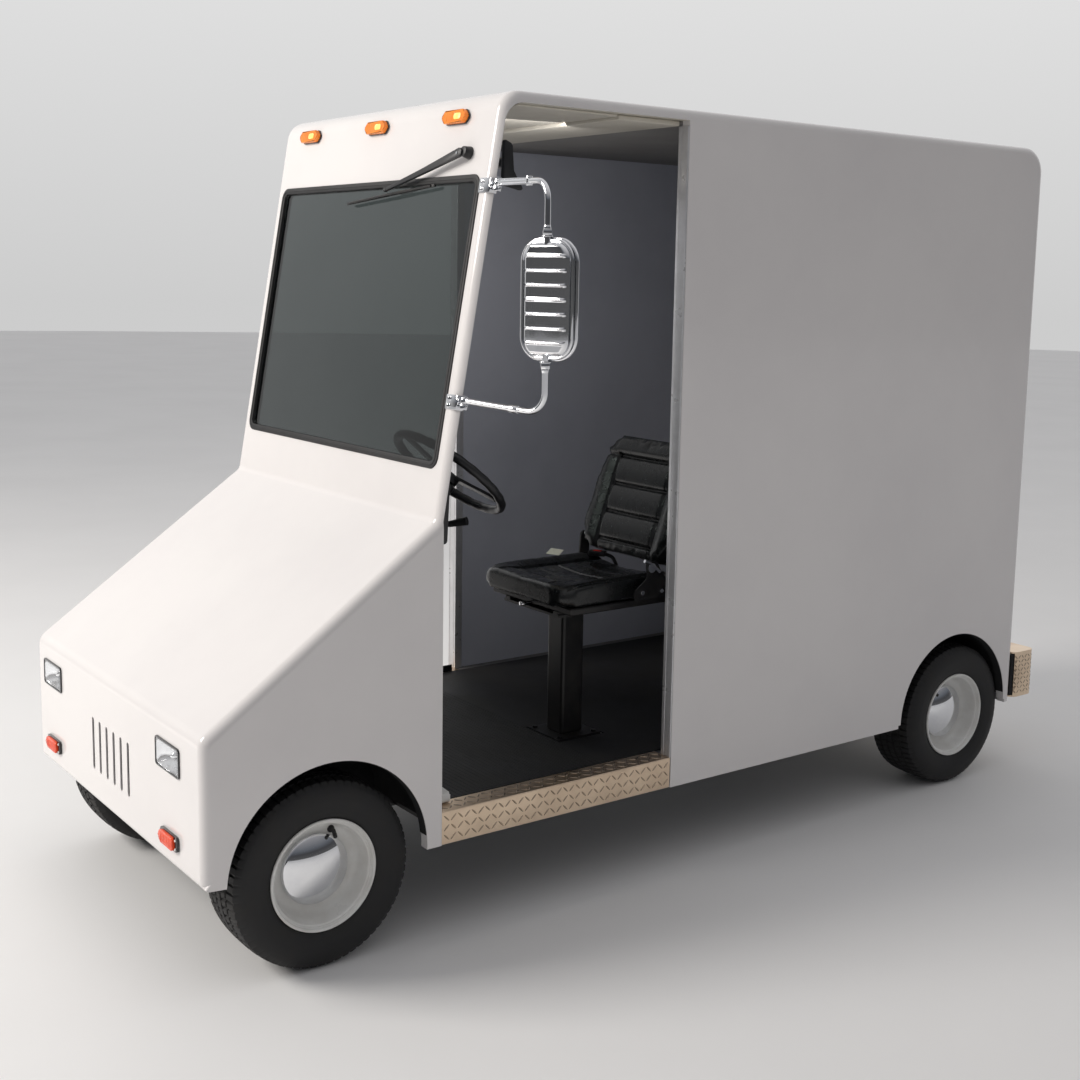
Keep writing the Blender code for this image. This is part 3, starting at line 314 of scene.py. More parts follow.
def rounded(corners, radii, steps=8):
    """A polygon's corners turned into arcs; radii is one number or one for each corner."""
    count = len(corners)
    radii = [radii] * count if isinstance(radii, (int, float)) else radii
    points = []
    for index in range(count):
        here = Vector(corners[index])
        if radii[index] <= 0.0:
            points.append(here)
            continue
        centre, start, end = arc_of(Vector(corners[index - 1]), here,
                                    Vector(corners[(index + 1) % count]), radii[index])
        sweep = (start - centre).angle_signed(end - centre)
        for step in range(steps + 1):
            arm = (start - centre).copy()
            arm.rotate(Matrix.Rotation(-sweep * step / steps, 2))
            points.append(centre + arm)
    return points


def inset(corners, distance):
    """A polygon drawn in by a distance all round."""
    count = len(corners)
    made = []
    for index in range(count):
        here = Vector(corners[index])
        back = (here - Vector(corners[index - 1])).normalized()
        on = (Vector(corners[(index + 1) % count]) - here).normalized()
        bisector = (Vector((-back.y, back.x)) + Vector((-on.y, on.x))).normalized()
        made.append(here + bisector * (distance / bisector.dot(Vector((-on.y, on.x)))))
    return made


def rectangle(x0, x1, y0, y1, radius=0.0, steps=6):
    return rounded([(x0, y0), (x1, y0), (x1, y1), (x0, y1)], radius, steps)


def oval(width, height, radius=0.062):
    """A rounded rectangle about the middle."""
    half = width / 2.0
    return rectangle(-half, half, -height / 2.0, height / 2.0, min(radius, half - 0.002), 14)


def slab(outline, low, high, placed=None, bevel=0.0, segments=2):
    """A flat outline from local z low to high, with its two rims rounded."""
    cage = bmesh.new()
    bottom = [cage.verts.new((p[0], p[1], low)) for p in outline]
    top = [cage.verts.new((p[0], p[1], high)) for p in outline]
    count = len(outline)
    caps = [cage.faces.new(bottom), cage.faces.new(top)]
    for index in range(count):
        after = (index + 1) % count
        cage.faces.new((bottom[index], bottom[after], top[after], top[index]))
    if bevel > 0.0:
        bevelled(cage, list({edge for cap in caps for edge in cap.edges}), bevel, segments)
    return mesh_of(cage, placed, outward=True)


def ring(outer, inner, low, high, placed=None, bevel=0.0):
    """A flat ring between two outlines of as many points."""
    cage = bmesh.new()
    loops = [[cage.verts.new((p[0], p[1], z)) for p in outline]
             for outline, z in ((outer, low), (outer, high), (inner, high), (inner, low))]
    count = len(outer)
    rims = []
    for a in range(4):
        b = (a + 1) % 4
        for index in range(count):
            after = (index + 1) % count
            cage.faces.new((loops[a][index], loops[a][after], loops[b][after], loops[b][index]))
            rims.append(cage.edges.get((loops[a][index], loops[a][after])))
    if bevel > 0.0:
        bevelled(cage, rims, bevel)
    return mesh_of(cage, placed, outward=True)


def block(low, high, bevel=0.0, segments=3):
    """A box with rounded edges."""
    cage = bmesh.new()
    bmesh.ops.create_cube(cage, size=1.0)
    size = Vector(high) - Vector(low)
    bmesh.ops.scale(cage, vec=size, verts=cage.verts)
    bmesh.ops.translate(cage, vec=Vector(low) + size / 2.0, verts=cage.verts)
    if bevel > 0.0:
        bevelled(cage, cage.edges, bevel, segments)
    return mesh_of(cage)


def turned(profile, steps=64, placed=None, lift=None, closed=False):
    """A profile of (radius, height) turned about local Z.  lift(step, index) adds to a radius."""
    count = len(profile)
    points, faces, rows = [], [], []
    for index, (radius, height) in enumerate(profile):
        if radius < 1e-6:
            rows.append([len(points)] * steps)
            points.append((0.0, 0.0, height))
            continue
        rows.append(list(range(len(points), len(points) + steps)))
        for step in range(steps):
            angle = 2.0 * math.pi * step / steps
            r = radius + (lift(step, index) if lift else 0.0)
            points.append((r * math.cos(angle), r * math.sin(angle), height))
    for index in range(count if closed else count - 1):
        a, b = rows[index], rows[(index + 1) % count]
        for step in range(steps):
            after = (step + 1) % steps
            face = [a[step], a[after], b[after], b[step]]
            faces.append(tuple(dict.fromkeys(face)))
    return from_lists(points, faces, placed)


def rod(start, end, radius, end_radius=None, sides=32, bevel=0.0):
    """A straight round or six-sided bar, tapered if it has an end radius."""
    start, end = Vector(start), Vector(end)
    cage = bmesh.new()
    bmesh.ops.create_cone(cage, cap_ends=True, segments=sides, radius1=radius,
                          radius2=radius if end_radius is None else end_radius,
                          depth=(end - start).length)
    if bevel > 0.0:
        rims = [e for e in cage.edges if abs(e.verts[0].co.z - e.verts[1].co.z) < 1e-6]
        bevelled(cage, rims, bevel)
    return mesh_of(cage, facing_out((start + end) / 2.0, end - start))


def tube(points, radius, sides=16, closed=False):
    """A round bar through points; radius is one number or one for each point."""
    points = [Vector(p) for p in points]
    count = len(points)
    radii = [radius] * count if isinstance(radius, (int, float)) else radius
    verts, faces = [], []
    side = None
    for index, here in enumerate(points):
        before = points[index - 1] if closed or index else here
        after = points[(index + 1) % count] if closed or index < count - 1 else here
        along = (after - before).normalized()
        if side is None:
            side = along.orthogonal().normalized()
        side = (side - along * side.dot(along)).normalized()
        up = along.cross(side)
        for k in range(sides):
            angle = 2.0 * math.pi * k / sides
            verts.append(here + (side * math.cos(angle) + up * math.sin(angle)) * radii[index])
    for index in range(count if closed else count - 1):
        a, b = index * sides, ((index + 1) % count) * sides
        for k in range(sides):
            m = (k + 1) % sides
            faces.append((a + k, a + m, b + m, b + k))
    if not closed:
        faces.append(tuple(range(sides))[::-1])
        faces.append(tuple(range((count - 1) * sides, count * sides)))
    return from_lists(verts, faces)


def bent(points, radius, steps=8):
    """A path with each inner corner bent to a radius."""
    path = [Vector(points[0])]
    for back, here, ahead in zip(points, points[1:], points[2:]):
        centre, start, end = arc_of(Vector(back), Vector(here), Vector(ahead), radius)
        for step in range(steps + 1):
            arm = (start - centre).slerp(end - centre, step / steps).normalized()
            path.append(centre + arm * radius)
    path.append(Vector(points[-1]))
    return path


def smooth_path(points, steps=6):
    """A Catmull-Rom curve through points."""
    points = [Vector(p) for p in points]
    padded = [points[0]] + points + [points[-1]]
    path = []
    for a, b, c, d in zip(padded, padded[1:], padded[2:], padded[3:]):
        for step in range(steps):
            t = step / steps
            path.append(0.5 * ((2 * b) + (c - a) * t + (2 * a - 5 * b + 4 * c - d) * t * t
                               + (3 * b - a - 3 * c + d) * t ** 3))
    path.append(points[-1])
    return path


def cut(base, cutters):
    """A mesh with others taken away from it."""
    body = bpy.data.objects.new("body", base)
    tools = []
    for mesh in cutters:
        tool = bpy.data.objects.new("cutter", mesh)
        bpy.context.scene.collection.objects.link(tool)
        tools.append(tool)
        step = body.modifiers.new("boolean", "BOOLEAN")
        step.operation, step.solver, step.object = "DIFFERENCE", "EXACT", tool
    mesh = evaluated(body)
    for tool in tools:
        bpy.data.objects.remove(tool, do_unlink=True)
    return mesh


def softened(mesh, width, angle=40.0):
    """Edges sharper than the angle get a small round, once flat faces are made whole."""
    cage = bmesh.new()
    cage.from_mesh(mesh)
    bmesh.ops.dissolve_limit(cage, angle_limit=math.radians(0.2), verts=cage.verts, edges=cage.edges)
    source = bpy.data.objects.new("soften", mesh_of(cage))
    bevel = source.modifiers.new("bevel", "BEVEL")
    bevel.width, bevel.segments = width, 2
    bevel.limit_method, bevel.angle_limit = "ANGLE", math.radians(angle)
    bevel.use_clamp_overlap = True
    return evaluated(source)


def mirrored(mesh):
    """The mesh carried over to the vehicle's other side."""
    mesh.transform(Matrix.Scale(-1.0, 4, (1.0, 0.0, 0.0)))
    mesh.flip_normals()
    return mesh


# ---------------------------------------------------------------- moulded body
def outer_corners():
    """The body's side view, as (y, z)."""
    return [(NOSE_Y, NOSE_TOP_Z), (NOSE_Y, NOSE_LOW_Z), (-1.575, 0.3), (-1.0, SKIRT_Z),
            (REAR_Y, SKIRT_Z), (REAR_Y, ROOF_Z), (COWL_Y + LEAN * (ROOF_Z - COWL_Z), ROOF_Z),
            (COWL_Y, COWL_Z)]


def louvre(middle, trim=0.0):
    """One slot's outline."""
    half = LOUVRE_HALF - trim
    return rectangle(middle - half, middle + half, LOUVRE_LOW_Z + trim, LOUVRE_TOP_Z - trim, half - 0.0001)


def inside_outline(outline, y, z):
    """Even-odd test of a point against a closed outline."""
    inside = False
    for index, b in enumerate(outline):
        a = outline[index - 1]
        if (a[1] > z) != (b[1] > z) and y < (b[0] - a[0]) * (z - a[1]) / (b[1] - a[1]) + a[0]:
            inside = not inside
    return inside


def moulded_body():
    """The one-piece shell with its openings: white outside; inside, cream near the roof and elsewhere a
    darker bluish grey that is painted shade on the white.
    """
    corners = outer_corners()
    outside = slab(rounded(corners, [0.045, 0.02, 0, 0, 0, 0.09, 0.07, 0.03], 10),
                   -HALF_WIDTH, HALF_WIDTH, SIDEWAYS)
    cage = bmesh.new()
    cage.from_mesh(outside)
    rims = [e for e in cage.edges if abs(e.verts[0].co.x - e.verts[1].co.x) < 1e-5
            and max(e.verts[0].co.z, e.verts[1].co.z) > 0.31]
    bevelled(cage, rims, EDGE, 6)
    outside = mesh_of(cage)
    inner = inset(corners, WALL)
    for index in (1, 2, 3, 4):
        inner[index].y = SKIRT_Z - 0.1
    inner_outline = rounded(inner, [0.012, 0, 0, 0, 0, 0.06, 0.037, 0.06], 8)
    inside = slab(inner_outline, -HALF_WIDTH + WALL, HALF_WIDTH - WALL, SIDEWAYS)
    openings = [inside]
    door_top = ROOF_Z - WALL
    for side in (1.0, -1.0):
        reach = sorted((side * (HALF_WIDTH - WALL - 0.0005), side * (HALF_WIDTH + 0.1)))
        top_y = DOOR_FRONT_Y + LEAN * (door_top - COWL_Z)
        doorway = rounded([(DOOR_FRONT_Y, 0.1), (DOOR_REAR_Y + 0.004, 0.1),
                           (DOOR_REAR_Y + 0.004, door_top), (top_y, door_top),
                           (DOOR_FRONT_Y, COWL_Z)], [0, 0, 0, 0.06, 0], 8)
        openings.append(slab(doorway, *reach, SIDEWAYS))
        for y, z in (FRONT_ARCH, REAR_ARCH):
            openings.append(rod((reach[0], y, z), (reach[1], y, z), ARCH_R, sides=96))
    for (y, top), front, rear in ((FRONT_ARCH, 0.288, 0.289), (REAR_ARCH, 0.305, 0.299)):
        openings.append(block((-0.7, y - front, 0.1), (0.7, y + rear, top)))
    screen = rectangle(-GLASS_HALF, GLASS_HALF, up_screen(GLASS_LOW_Z), up_screen(GLASS_TOP_Z), 0.035)
    openings.append(slab(screen, -0.2, 0.2, SCREEN))
    half, low, high = REAR_DOOR
    openings.append(block((-half, 1.5, low), (half, 1.7, high)))
    openings.append(block((-0.32, 1.5, 0.1), (0.32, 1.7, 0.345)))
    shell = softened(cut(outside, openings), 0.0028, 50.0)
    holes = [slab(louvre(middle), 1.5, 1.75, LENGTHWAYS) for middle in LOUVRE_MIDDLES]
    for hand in ("left", "right"):
        low, high = box(f"headlamp_{hand}")
        recess = rectangle(low.x - 0.0005, high.x + 0.0005, low.z - 0.0005, high.z + 0.0005, 0.01)
        holes.append(slab(recess, 1.5, 1.75, LENGTHWAYS))
    shell = cut(shell, holes)
    swollen = inset(inner, -0.0015)
    # Inner faces: cream near the roof, else the darker grey that is painted shade.
    for polygon in shell.polygons:
        c = polygon.center
        within = inside_outline(swollen, c.y, c.z) and abs(c.x) < HALF_WIDTH - WALL + 0.0015
        polygon.material_index = (2 if c.z > door_top - 0.06 else 1) if within else 0
    indices = [p.material_index for p in shell.polygons]
    made = piece("moulded_body", shell, [WHITE, INSIDE_PAINTED_SHADE, CREAM],
                 ("front_cowl", "windshield_frame", "roof_panel", "side_panel_left",
                  "side_panel_right", "rear_frame"), sharp=30.0)
    made.data.polygons.foreach_set("material_index", indices)
    even = made.modifiers.new("even_shading", "WEIGHTED_NORMAL")
    even.keep_sharp = True
    even.weight = 100


def linings():
    """Ceiling with its cargo part in a dark grey that is painted shade, wheel wells, the arches' dark edges
    (a thin moulding, with painted shade over the wall's cut face), and the louvres' screen and the dark
    fins in their slots, which are painted shade.
    """
    inner = HALF_WIDTH - WALL - 0.001
    under = ROOF_Z - WALL
    piece("ceiling_front_panel", block((-inner, -0.7, under - 0.006), (inner, -0.356, under - 0.001),
                                       0.0015), CREAM)
    piece("ceiling_beam", block((-inner, -0.35, under - 0.016), (inner, -0.122, under - 0.001), 0.004),
          CREAM)
    # The cargo ceiling's dark grey is painted shade.
    piece("cargo_ceiling", block((-inner, -0.118, under - 0.008), (inner, 1.5, under - 0.001), 0.0015),
          CARGO_CEILING_PAINTED_SHADE)
    for side, hand in SIDES:
        for end, y0, y1, x0, top, radius in (("front", -1.6, -0.966, 0.306, 0.592, 0.25),
                                             ("rear", 0.957, 1.562, 0.416, 0.5785, 0.27)):
            low = 0.338 if end == "front" else 0.3
            arch = rounded([(y0, low), (y1, low), (y1, top), (y0, top)], [0, 0, radius, radius], 12)
            hollow = rounded([(y0 + 0.003, low - 0.01), (y1 - 0.003, low - 0.01),
                              (y1 - 0.003, top - 0.003), (y0 + 0.003, top - 0.003)],
                             [0, 0, radius, radius], 12)
            shell = cut(slab(arch, x0, 0.6105, SIDEWAYS), [slab(hollow, x0 + 0.003, 0.7, SIDEWAYS)])
            shell = mirrored(shell) if side < 0.0 else shell
            piece(f"wheel_well_{end}_{hand}", shell, DARK_LINER_AND_SHADE)
    for side, hand in SIDES:
        # The dark strip on each arch's cut edge is partly a thin moulding and partly painted shade over the
        # white wall's thickness.
        for end, (y, z) in (("front", FRONT_ARCH), ("rear", REAR_ARCH)):
            arc = np.linspace(0.1, math.pi - 0.1, 65)
            outer, inner = [[(y + (ARCH_R - gap) * math.cos(a), z + (ARCH_R - gap) * math.sin(a))
                             for a in arc] for gap in (0.0004, 0.0024)]
            trim = slab(outer + inner[::-1], *sorted((side * 0.6115, side * 0.6435)), SIDEWAYS)
            piece(f"arch_trim_{end}_{hand}", trim, DARK_LINER_AND_SHADE)
    screen = slab(rectangle(-0.19, 0.19, 0.375, 0.58, 0.01), 1.56, 1.566, LENGTHWAYS)
    piece("louvre_screen", screen, DARK_LINER_AND_SHADE)
    # Black fins in the louvre slots are painted shade: they make the slots read dark all through.
    fins = [slab(louvre(middle, 0.0002), 1.612, 1.6365, LENGTHWAYS) for middle in LOUVRE_MIDDLES]
    piece("louvre_painted_shade_fins", joined(*fins), DARK_LINER_AND_SHADE)


# ---------------------------------------------------------------- wheels
PITCHES, PER_PITCH = 66, 8
GROOVE_DEPTH, SIPE_DEPTH = 0.0065, 0.0035
BEAD_RADII, BEAD_RISE = ((0.2245, 0.004), (0.1725, 0.003)), 0.0016
STEM_ANGLES = {"front": math.radians(152.0), "rear": math.radians(-140.0)}


def tread_profile():
    """The tyre's section as (radius, height, row), where row names the tread band a point is in."""
    half = []
    for x, row in ((0.0, 0), (0.01, 0), (0.0125, "g"), (0.0165, "g"), (0.019, 1), (0.03, 1),
                   (0.041, 1), (0.0435, "g"), (0.0475, "g"), (0.05, 2), (0.062, 2), (0.074, 2),
                   (0.081, 2)):
        crown = TYRE_R - 0.0003 - 0.0045 * (x / 0.078) ** 3
        half.append((crown, x, row))
    wall = smooth_path([(0.247, 0.087, 0), (0.238, 0.0935, 0), (0.225, 0.0975, 0),
                        (0.208, 0.1, 0), (0.19, 0.0988, 0), (0.172, 0.096, 0),
                        (0.16, 0.0905, 0), (0.1545, 0.0865, 0)], 3)
    for point in wall:
        half.append((point.x, point.y, 3 if point.x > 0.231 else 4))
    half.append((0.1432, 0.084, 5))
    left = [(r, -x, row) for r, x, row in reversed(half[1:])]
    return left + half


def tyre_mesh():
    """A tyre with grooves, lugs and sipes cut round its section."""
    section = tread_profile()
    offsets = {0: 0, 1: 3, 2: 6, 3: 6}

    def lift(step, index):
        radius, x, row = section[index]
        if row == "g":
            return -GROOVE_DEPTH
        if row in (4, 5):
            ringed = any(abs(radius - middle) < half for middle, half in BEAD_RADII)
            return BEAD_RISE if ringed and row == 4 else 0.0
        slant = int(round(x / 0.016)) if row == 1 else 0
        phase = (step + offsets[row] + slant) % PER_PITCH
        if row == 0:
            return -SIPE_DEPTH if phase == 0 else 0.0
        shoulder = 0.0055 if abs(x) < 0.073 else 0.003
        depth, wide = {1: (0.0055, 2), 2: (shoulder, 2), 3: (0.0012, 1)}[row]
        return -depth if phase < wide else 0.0

    profile = [(radius, x) for radius, x, row in section]
    return turned(profile, PITCHES * PER_PITCH, lift=lift, closed=True)


def rim_mesh():
    """Deep dish: rolled lips, stepped barrel and the disc that the cap sits on."""
    profile = [(0.154, 0.09), (0.1535, 0.0925), (0.1512, 0.094), (0.1482, 0.0938), (0.1464, 0.0922),
               (0.1452, 0.0885), (0.144, 0.0835), (0.1412, 0.0805), (0.1385, 0.079), (0.1374, 0.076),
               (0.1366, 0.068), (0.1358, 0.06), (0.1348, 0.052), (0.1334, 0.044), (0.131, 0.037),
               (0.127, 0.031), (0.1215, 0.0275), (0.115, 0.0264), (0.108, 0.0262), (0.022, 0.0262),
               (0.022, 0.016), (0.115, 0.016), (0.134, 0.014), (0.1355, -0.06),
               (0.1362, -0.082), (0.147, -0.0938), (0.151, -0.094), (0.154, -0.0925),
               (0.154, -0.088), (0.1425, -0.085), (0.1425, 0.085), (0.154, 0.088)]
    return turned(profile, 120, closed=True)


def cap_mesh():
    """A shallow dome with a small rolled foot."""
    edge, rise, top = 0.0966, 0.0225, 0.0615
    sphere = (edge * edge + rise * rise) / (2.0 * rise)
    profile = [(0.0, top)] + [(sphere * math.sin(a), top - sphere * (1.0 - math.cos(a)))
                              for a in np.linspace(0.0, math.asin(edge / sphere), 17)[1:]]
    profile += [(0.0972, 0.038), (0.0968, 0.0368), (0.0955, 0.0362), (0.0955, 0.0266), (0.0, 0.0266)]
    return turned(profile, 96)


def valve_mesh(angle):
    """A bent rubber stem beside the cap, at an angle about the wheel's middle."""
    out = Vector((math.cos(angle), math.sin(angle), 0.0))
    root = out * 0.111 + Vector((0.0, 0.0, 0.0262))
    path = smooth_path([root, root + Vector((0, 0, 0.01)), root - out * 0.001 + Vector((0, 0, 0.018)),
                        root - out * 0.006 + Vector((0, 0, 0.028))], 4)
    stem = tube(path, list(np.linspace(0.0074, 0.0052, len(path))), 16)
    end, lean = path[-1], (path[-1] - path[-2]).normalized()
    return joined(stem, rod(end - lean * 0.002, end + lean * 0.012, 0.0062, 0.0056, 16, 0.001),
                  turned([(0.0, 0.0), (0.0105, 0.0), (0.01, 0.003), (0.0078, 0.0045), (0.0, 0.0046)], 24,
                         Matrix.Translation(root)))


def wheels():
    """Four wheels that share their meshes."""
    shapes = {"tyre": (tyre_mesh(), TYRE, "tyre", 28.0), "rim": (rim_mesh(), RIM, "rim_white", 40.0),
              "hub_cap": (cap_mesh(), CHROME, "chrome", 40.0)}
    for kind, (mesh, material, slot, sharp) in shapes.items():
        mesh.materials.append(material)
        mesh.shade_smooth()
        mesh.set_sharp_from_angle(angle=math.radians(sharp))
    for end, y in (("front", -WHEEL_Y), ("rear", WHEEL_Y)):
        for side, hand in SIDES:
            place = at(DATUM + Vector((side * WHEEL_X, y, WHEEL_Z)), side * math.pi / 2.0, "Y")
            stem = valve_mesh(STEM_ANGLES[end])
            stem.materials.append(RUBBER)
            stem.shade_smooth()
            for kind, mesh, slot in [(k, v[0], v[2]) for k, v in shapes.items()] + [
                    ("valve_stem", stem, "rubber_black")]:
                made = bpy.data.objects.new(f"wheel_{kind}_{end}_{hand}", mesh)
                made.matrix_world = place
                bpy.context.scene.collection.objects.link(made)
                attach(made, f"wheel_{end}_{hand}")
                if kind in shapes:
                    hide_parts(f"{kind}_{end}_{hand}")


# ---------------------------------------------------------------- stage
FLOOR_R = 40.0
WORLD_STRENGTH = 0.78
LOWEST_STOP = -0.02
# Height and colour of each stop, for the side towards the camera and the side beyond the truck
SKIES = (((LOWEST_STOP, (0.12, 0.12, 0.12)), (0.1, (0.07, 0.07, 0.075)), (0.18, (0.14, 0.15, 0.17)),
          (0.42, (0.37, 0.365, 0.375)), (1.0, (0.8, 0.79, 0.8))),
         ((LOWEST_STOP, (0.78, 0.78, 0.78)), (0.3, (1.05, 1.05, 1.05)), (1.0, (0.8, 0.79, 0.8))))
# Each light's name, place, aim, size, power and colour
LIGHTS = (
    ("key", (-2.6, -7.0, 5.2), (0.0, -1.0, 0.9), (3.0, 3.0), 520.0, (1.0, 0.955, 0.9)),
    ("cab", (0.42, -0.5, 2.2), (-0.6, -0.3, 1.1), (0.3, 0.5), 3.0, (1.0, 0.98, 0.97)),
)


def stage():
    """The floor, the sky and the lights."""
    disc = [(FLOOR_R * math.cos(a), FLOOR_R * math.sin(a)) for a in np.linspace(0, 2 * math.pi, 65)[:-1]]
    floor = bpy.data.objects.new("floor", slab(disc, -0.02, 0.0))
    floor.data.materials.append(finish("floor_pale", (0.8, 0.8, 0.8), 0.75, second=(0.78, 0.78, 0.78),
                                       patch=0.7))
    bpy.context.scene.collection.objects.link(floor)

    world = bpy.data.worlds.new("studio")
    world.use_nodes = True
    tree = world.node_tree
    bpy.context.scene.world = world
    bpy.context.scene.view_settings.view_transform = "Standard"
    back = tree.nodes["Background"]
    place = tree.nodes.new("ShaderNodeTexCoord")
    ahead = tree.nodes.new("ShaderNodeVectorMath")
    ahead.operation = "DOT_PRODUCT"
    ahead.inputs[1].default_value = (-0.8, 0.6, 0.0)
    tree.links.new(place.outputs["Generated"], ahead.inputs[0])
    behind = ranged(tree, ahead.outputs["Value"], 0.05, 0.62)
    behind.interpolation_type = "SMOOTHSTEP"
    split = tree.nodes.new("ShaderNodeSeparateXYZ")
    tree.links.new(place.outputs["Generated"], split.inputs["Vector"])
    ramps = []
    for stops in SKIES:
        ramp = tree.nodes.new("ShaderNodeValToRGB")
        shift = ranged(tree, split.outputs["Z"], LOWEST_STOP, 1.0)
        tree.links.new(shift.outputs["Result"], ramp.inputs["Fac"])
        while len(ramp.color_ramp.elements) < len(stops):
            ramp.color_ramp.elements.new(0.5)
        for element, (height, colour) in zip(ramp.color_ramp.elements, stops):
            element.position = (height - LOWEST_STOP) / (1.0 - LOWEST_STOP)
            element.color = (*colour, 1.0)
        ramps.append(ramp)
    blend = tree.nodes.new("ShaderNodeMix")
    blend.data_type = "RGBA"
    tree.links.new(behind.outputs["Result"], blend.inputs["Factor"])
    tree.links.new(ramps[0].outputs["Color"], blend.inputs["A"])
    tree.links.new(ramps[1].outputs["Color"], blend.inputs["B"])
    tree.links.new(blend.outputs["Result"], back.inputs["Color"])
    back.inputs["Strength"].default_value = WORLD_STRENGTH

    for name, place, aim, size, power, tint in LIGHTS:
        data = bpy.data.lights.new(name, "AREA")
        data.shape, data.size, data.size_y = "RECTANGLE", size[0], size[1]
        data.energy, data.color = power, tint
        light = bpy.data.objects.new(name, data)
        light.location = Vector(place) + DATUM
        light.visible_camera = light.visible_glossy = name != "cab"
        light.rotation_euler = (Vector(aim) - Vector(place)).to_track_quat("-Z", "Y").to_euler()
        bpy.context.scene.collection.objects.link(light)


CAMERA_PLACE = (3.9199, -2.9909, 1.8392)
CAMERA_TURN = (0.9203, -0.1454, 0.0203)  # heading, pitch and roll, in radians
CAMERA_LENS, CAMERA_SHIFT = 48.46, (-0.0345, -0.0467)


def camera():
    """The three-quarter view of the front and the left side."""
    place = Vector(CAMERA_PLACE) + DATUM
    yaw, pitch, roll = CAMERA_TURN
    ahead = Vector((-math.sin(yaw) * math.cos(pitch), math.cos(yaw) * math.cos(pitch), math.sin(pitch)))
    right = Vector((math.cos(yaw), math.sin(yaw), 0.0))
    up = right.cross(ahead)
    right, up = (math.cos(roll) * right + math.sin(roll) * up,
                 math.cos(roll) * up - math.sin(roll) * right)
    data = bpy.data.cameras.new("camera")
    data.lens, data.sensor_width = CAMERA_LENS, 36.0
    data.shift_x, data.shift_y = CAMERA_SHIFT
    made = bpy.data.objects.new("camera", data)
    made.matrix_world = Matrix((right, up, -ahead)).transposed().to_4x4()
    made.location = place
    bpy.context.scene.collection.objects.link(made)
    bpy.context.scene.camera = made


# ---------------------------------------------------------------- lamps, glass and wiper
def grid_pad(top, under, across, placed=None):
    """A closed pad between two grids of points, each with rows of so many points."""
    rows, count = len(top) // across, len(top)
    faces = []
    for j in range(rows - 1):
        for i in range(across - 1):
            a = j * across + i
            b, c, d = a + 1, a + across + 1, a + across
            faces += [(a, b, c, d), (count + a, count + d, count + c, count + b)]
    border = ([(i, 0) for i in range(across)] + [(across - 1, j) for j in range(1, rows)]
              + [(i, rows - 1) for i in range(across - 2, -1, -1)]
              + [(0, j) for j in range(rows - 2, 0, -1)])
    loop = [j * across + i for i, j in border]
    faces += [(a, count + a, count + b, b) for a, b in zip(loop, loop[1:] + loop[:1])]
    return from_lists(top + under, faces, placed)


def relief(xs, ys, height, low, placed=None):
    """A pad over local points: flat at local z low, height(x, y) on top."""
    return grid_pad([(x, y, height(x, y)) for y in ys for x in xs],
                    [(x, y, low) for y in ys for x in xs], len(xs), placed)


def dome(centre, radius, height, sides=24, axis=(0.0, -1.0, 0.0)):
    """A shallow cap on a flat foot."""
    profile = [(radius * math.cos(a), height * math.sin(a)) for a in np.linspace(0, math.pi / 2, 7)]
    return turned([(0.0, 0.0)] + profile[:-1] + [(0.0, height)], sides, facing_out(centre, axis))


def front_face(node):
    """Middle x and z, half width and half height, and lowest and highest corner of a lamp."""
    low, high = box(node)
    middle, half = (low + high) / 2.0, (high - low) / 2.0
    return middle.x, middle.z, half.x, half.z, low, high


def headlamps():
    """Bezel, reflector, bulb and lens of each headlamp."""
    for _, hand in SIDES:
        x, z, half_w, half_h, low, high = front_face(f"headlamp_{hand}")

        def outline(trim, radius):
            return rectangle(x - half_w + trim, x + half_w - trim, z - half_h + trim, z + half_h - trim,
                             radius, 6)
        bezel = ring(outline(0.0, 0.01), outline(0.0045, 0.007), -low.y - 0.034, -low.y + 0.0005,
                     LENGTHWAYS, 0.0008)
        piece(f"headlamp_bezel_{hand}", bezel, GLOSSY, f"headlamp_{hand}")
        xs = np.linspace(-1.0, 1.0, 25) * (half_w - 0.005)
        ys = np.linspace(-1.0, 1.0, 13) * (half_h - 0.005)

        def bowl(u, v):
            across, up = abs(u) / (half_w - 0.005), abs(v) / (half_h - 0.005)
            return 0.026 * (1.0 - (1.0 - across ** 2.6) * (1.0 - up ** 2.6))
        dish = relief(xs, ys, bowl, -0.003,
                      at((x, -1.613, z), math.pi / 2.0, "X"))
        piece(f"headlamp_reflector_{hand}", dish, REFLECTOR, sharp=60)
        bulb = joined(dome((x, -1.619, z), 0.011, 0.012), rod((x, -1.614, z), (x, -1.62, z), 0.013))
        piece(f"headlamp_bulb_{hand}", bulb, CHROME)

        def fluted(u, v):
            return 0.0012 * (1.0 - (u / half_w) ** 4) * (1.0 - (v / half_h) ** 4)
        lens = relief(np.linspace(-1, 1, 41) * (half_w - 0.0055),
                      np.linspace(-1, 1, 21) * (half_h - 0.0055),
                      fluted, -0.002,
                      at((x, -1.643, z), math.pi / 2.0, "X"))
        piece(f"headlamp_lens_{hand}", lens, CLEAR, sharp=40)


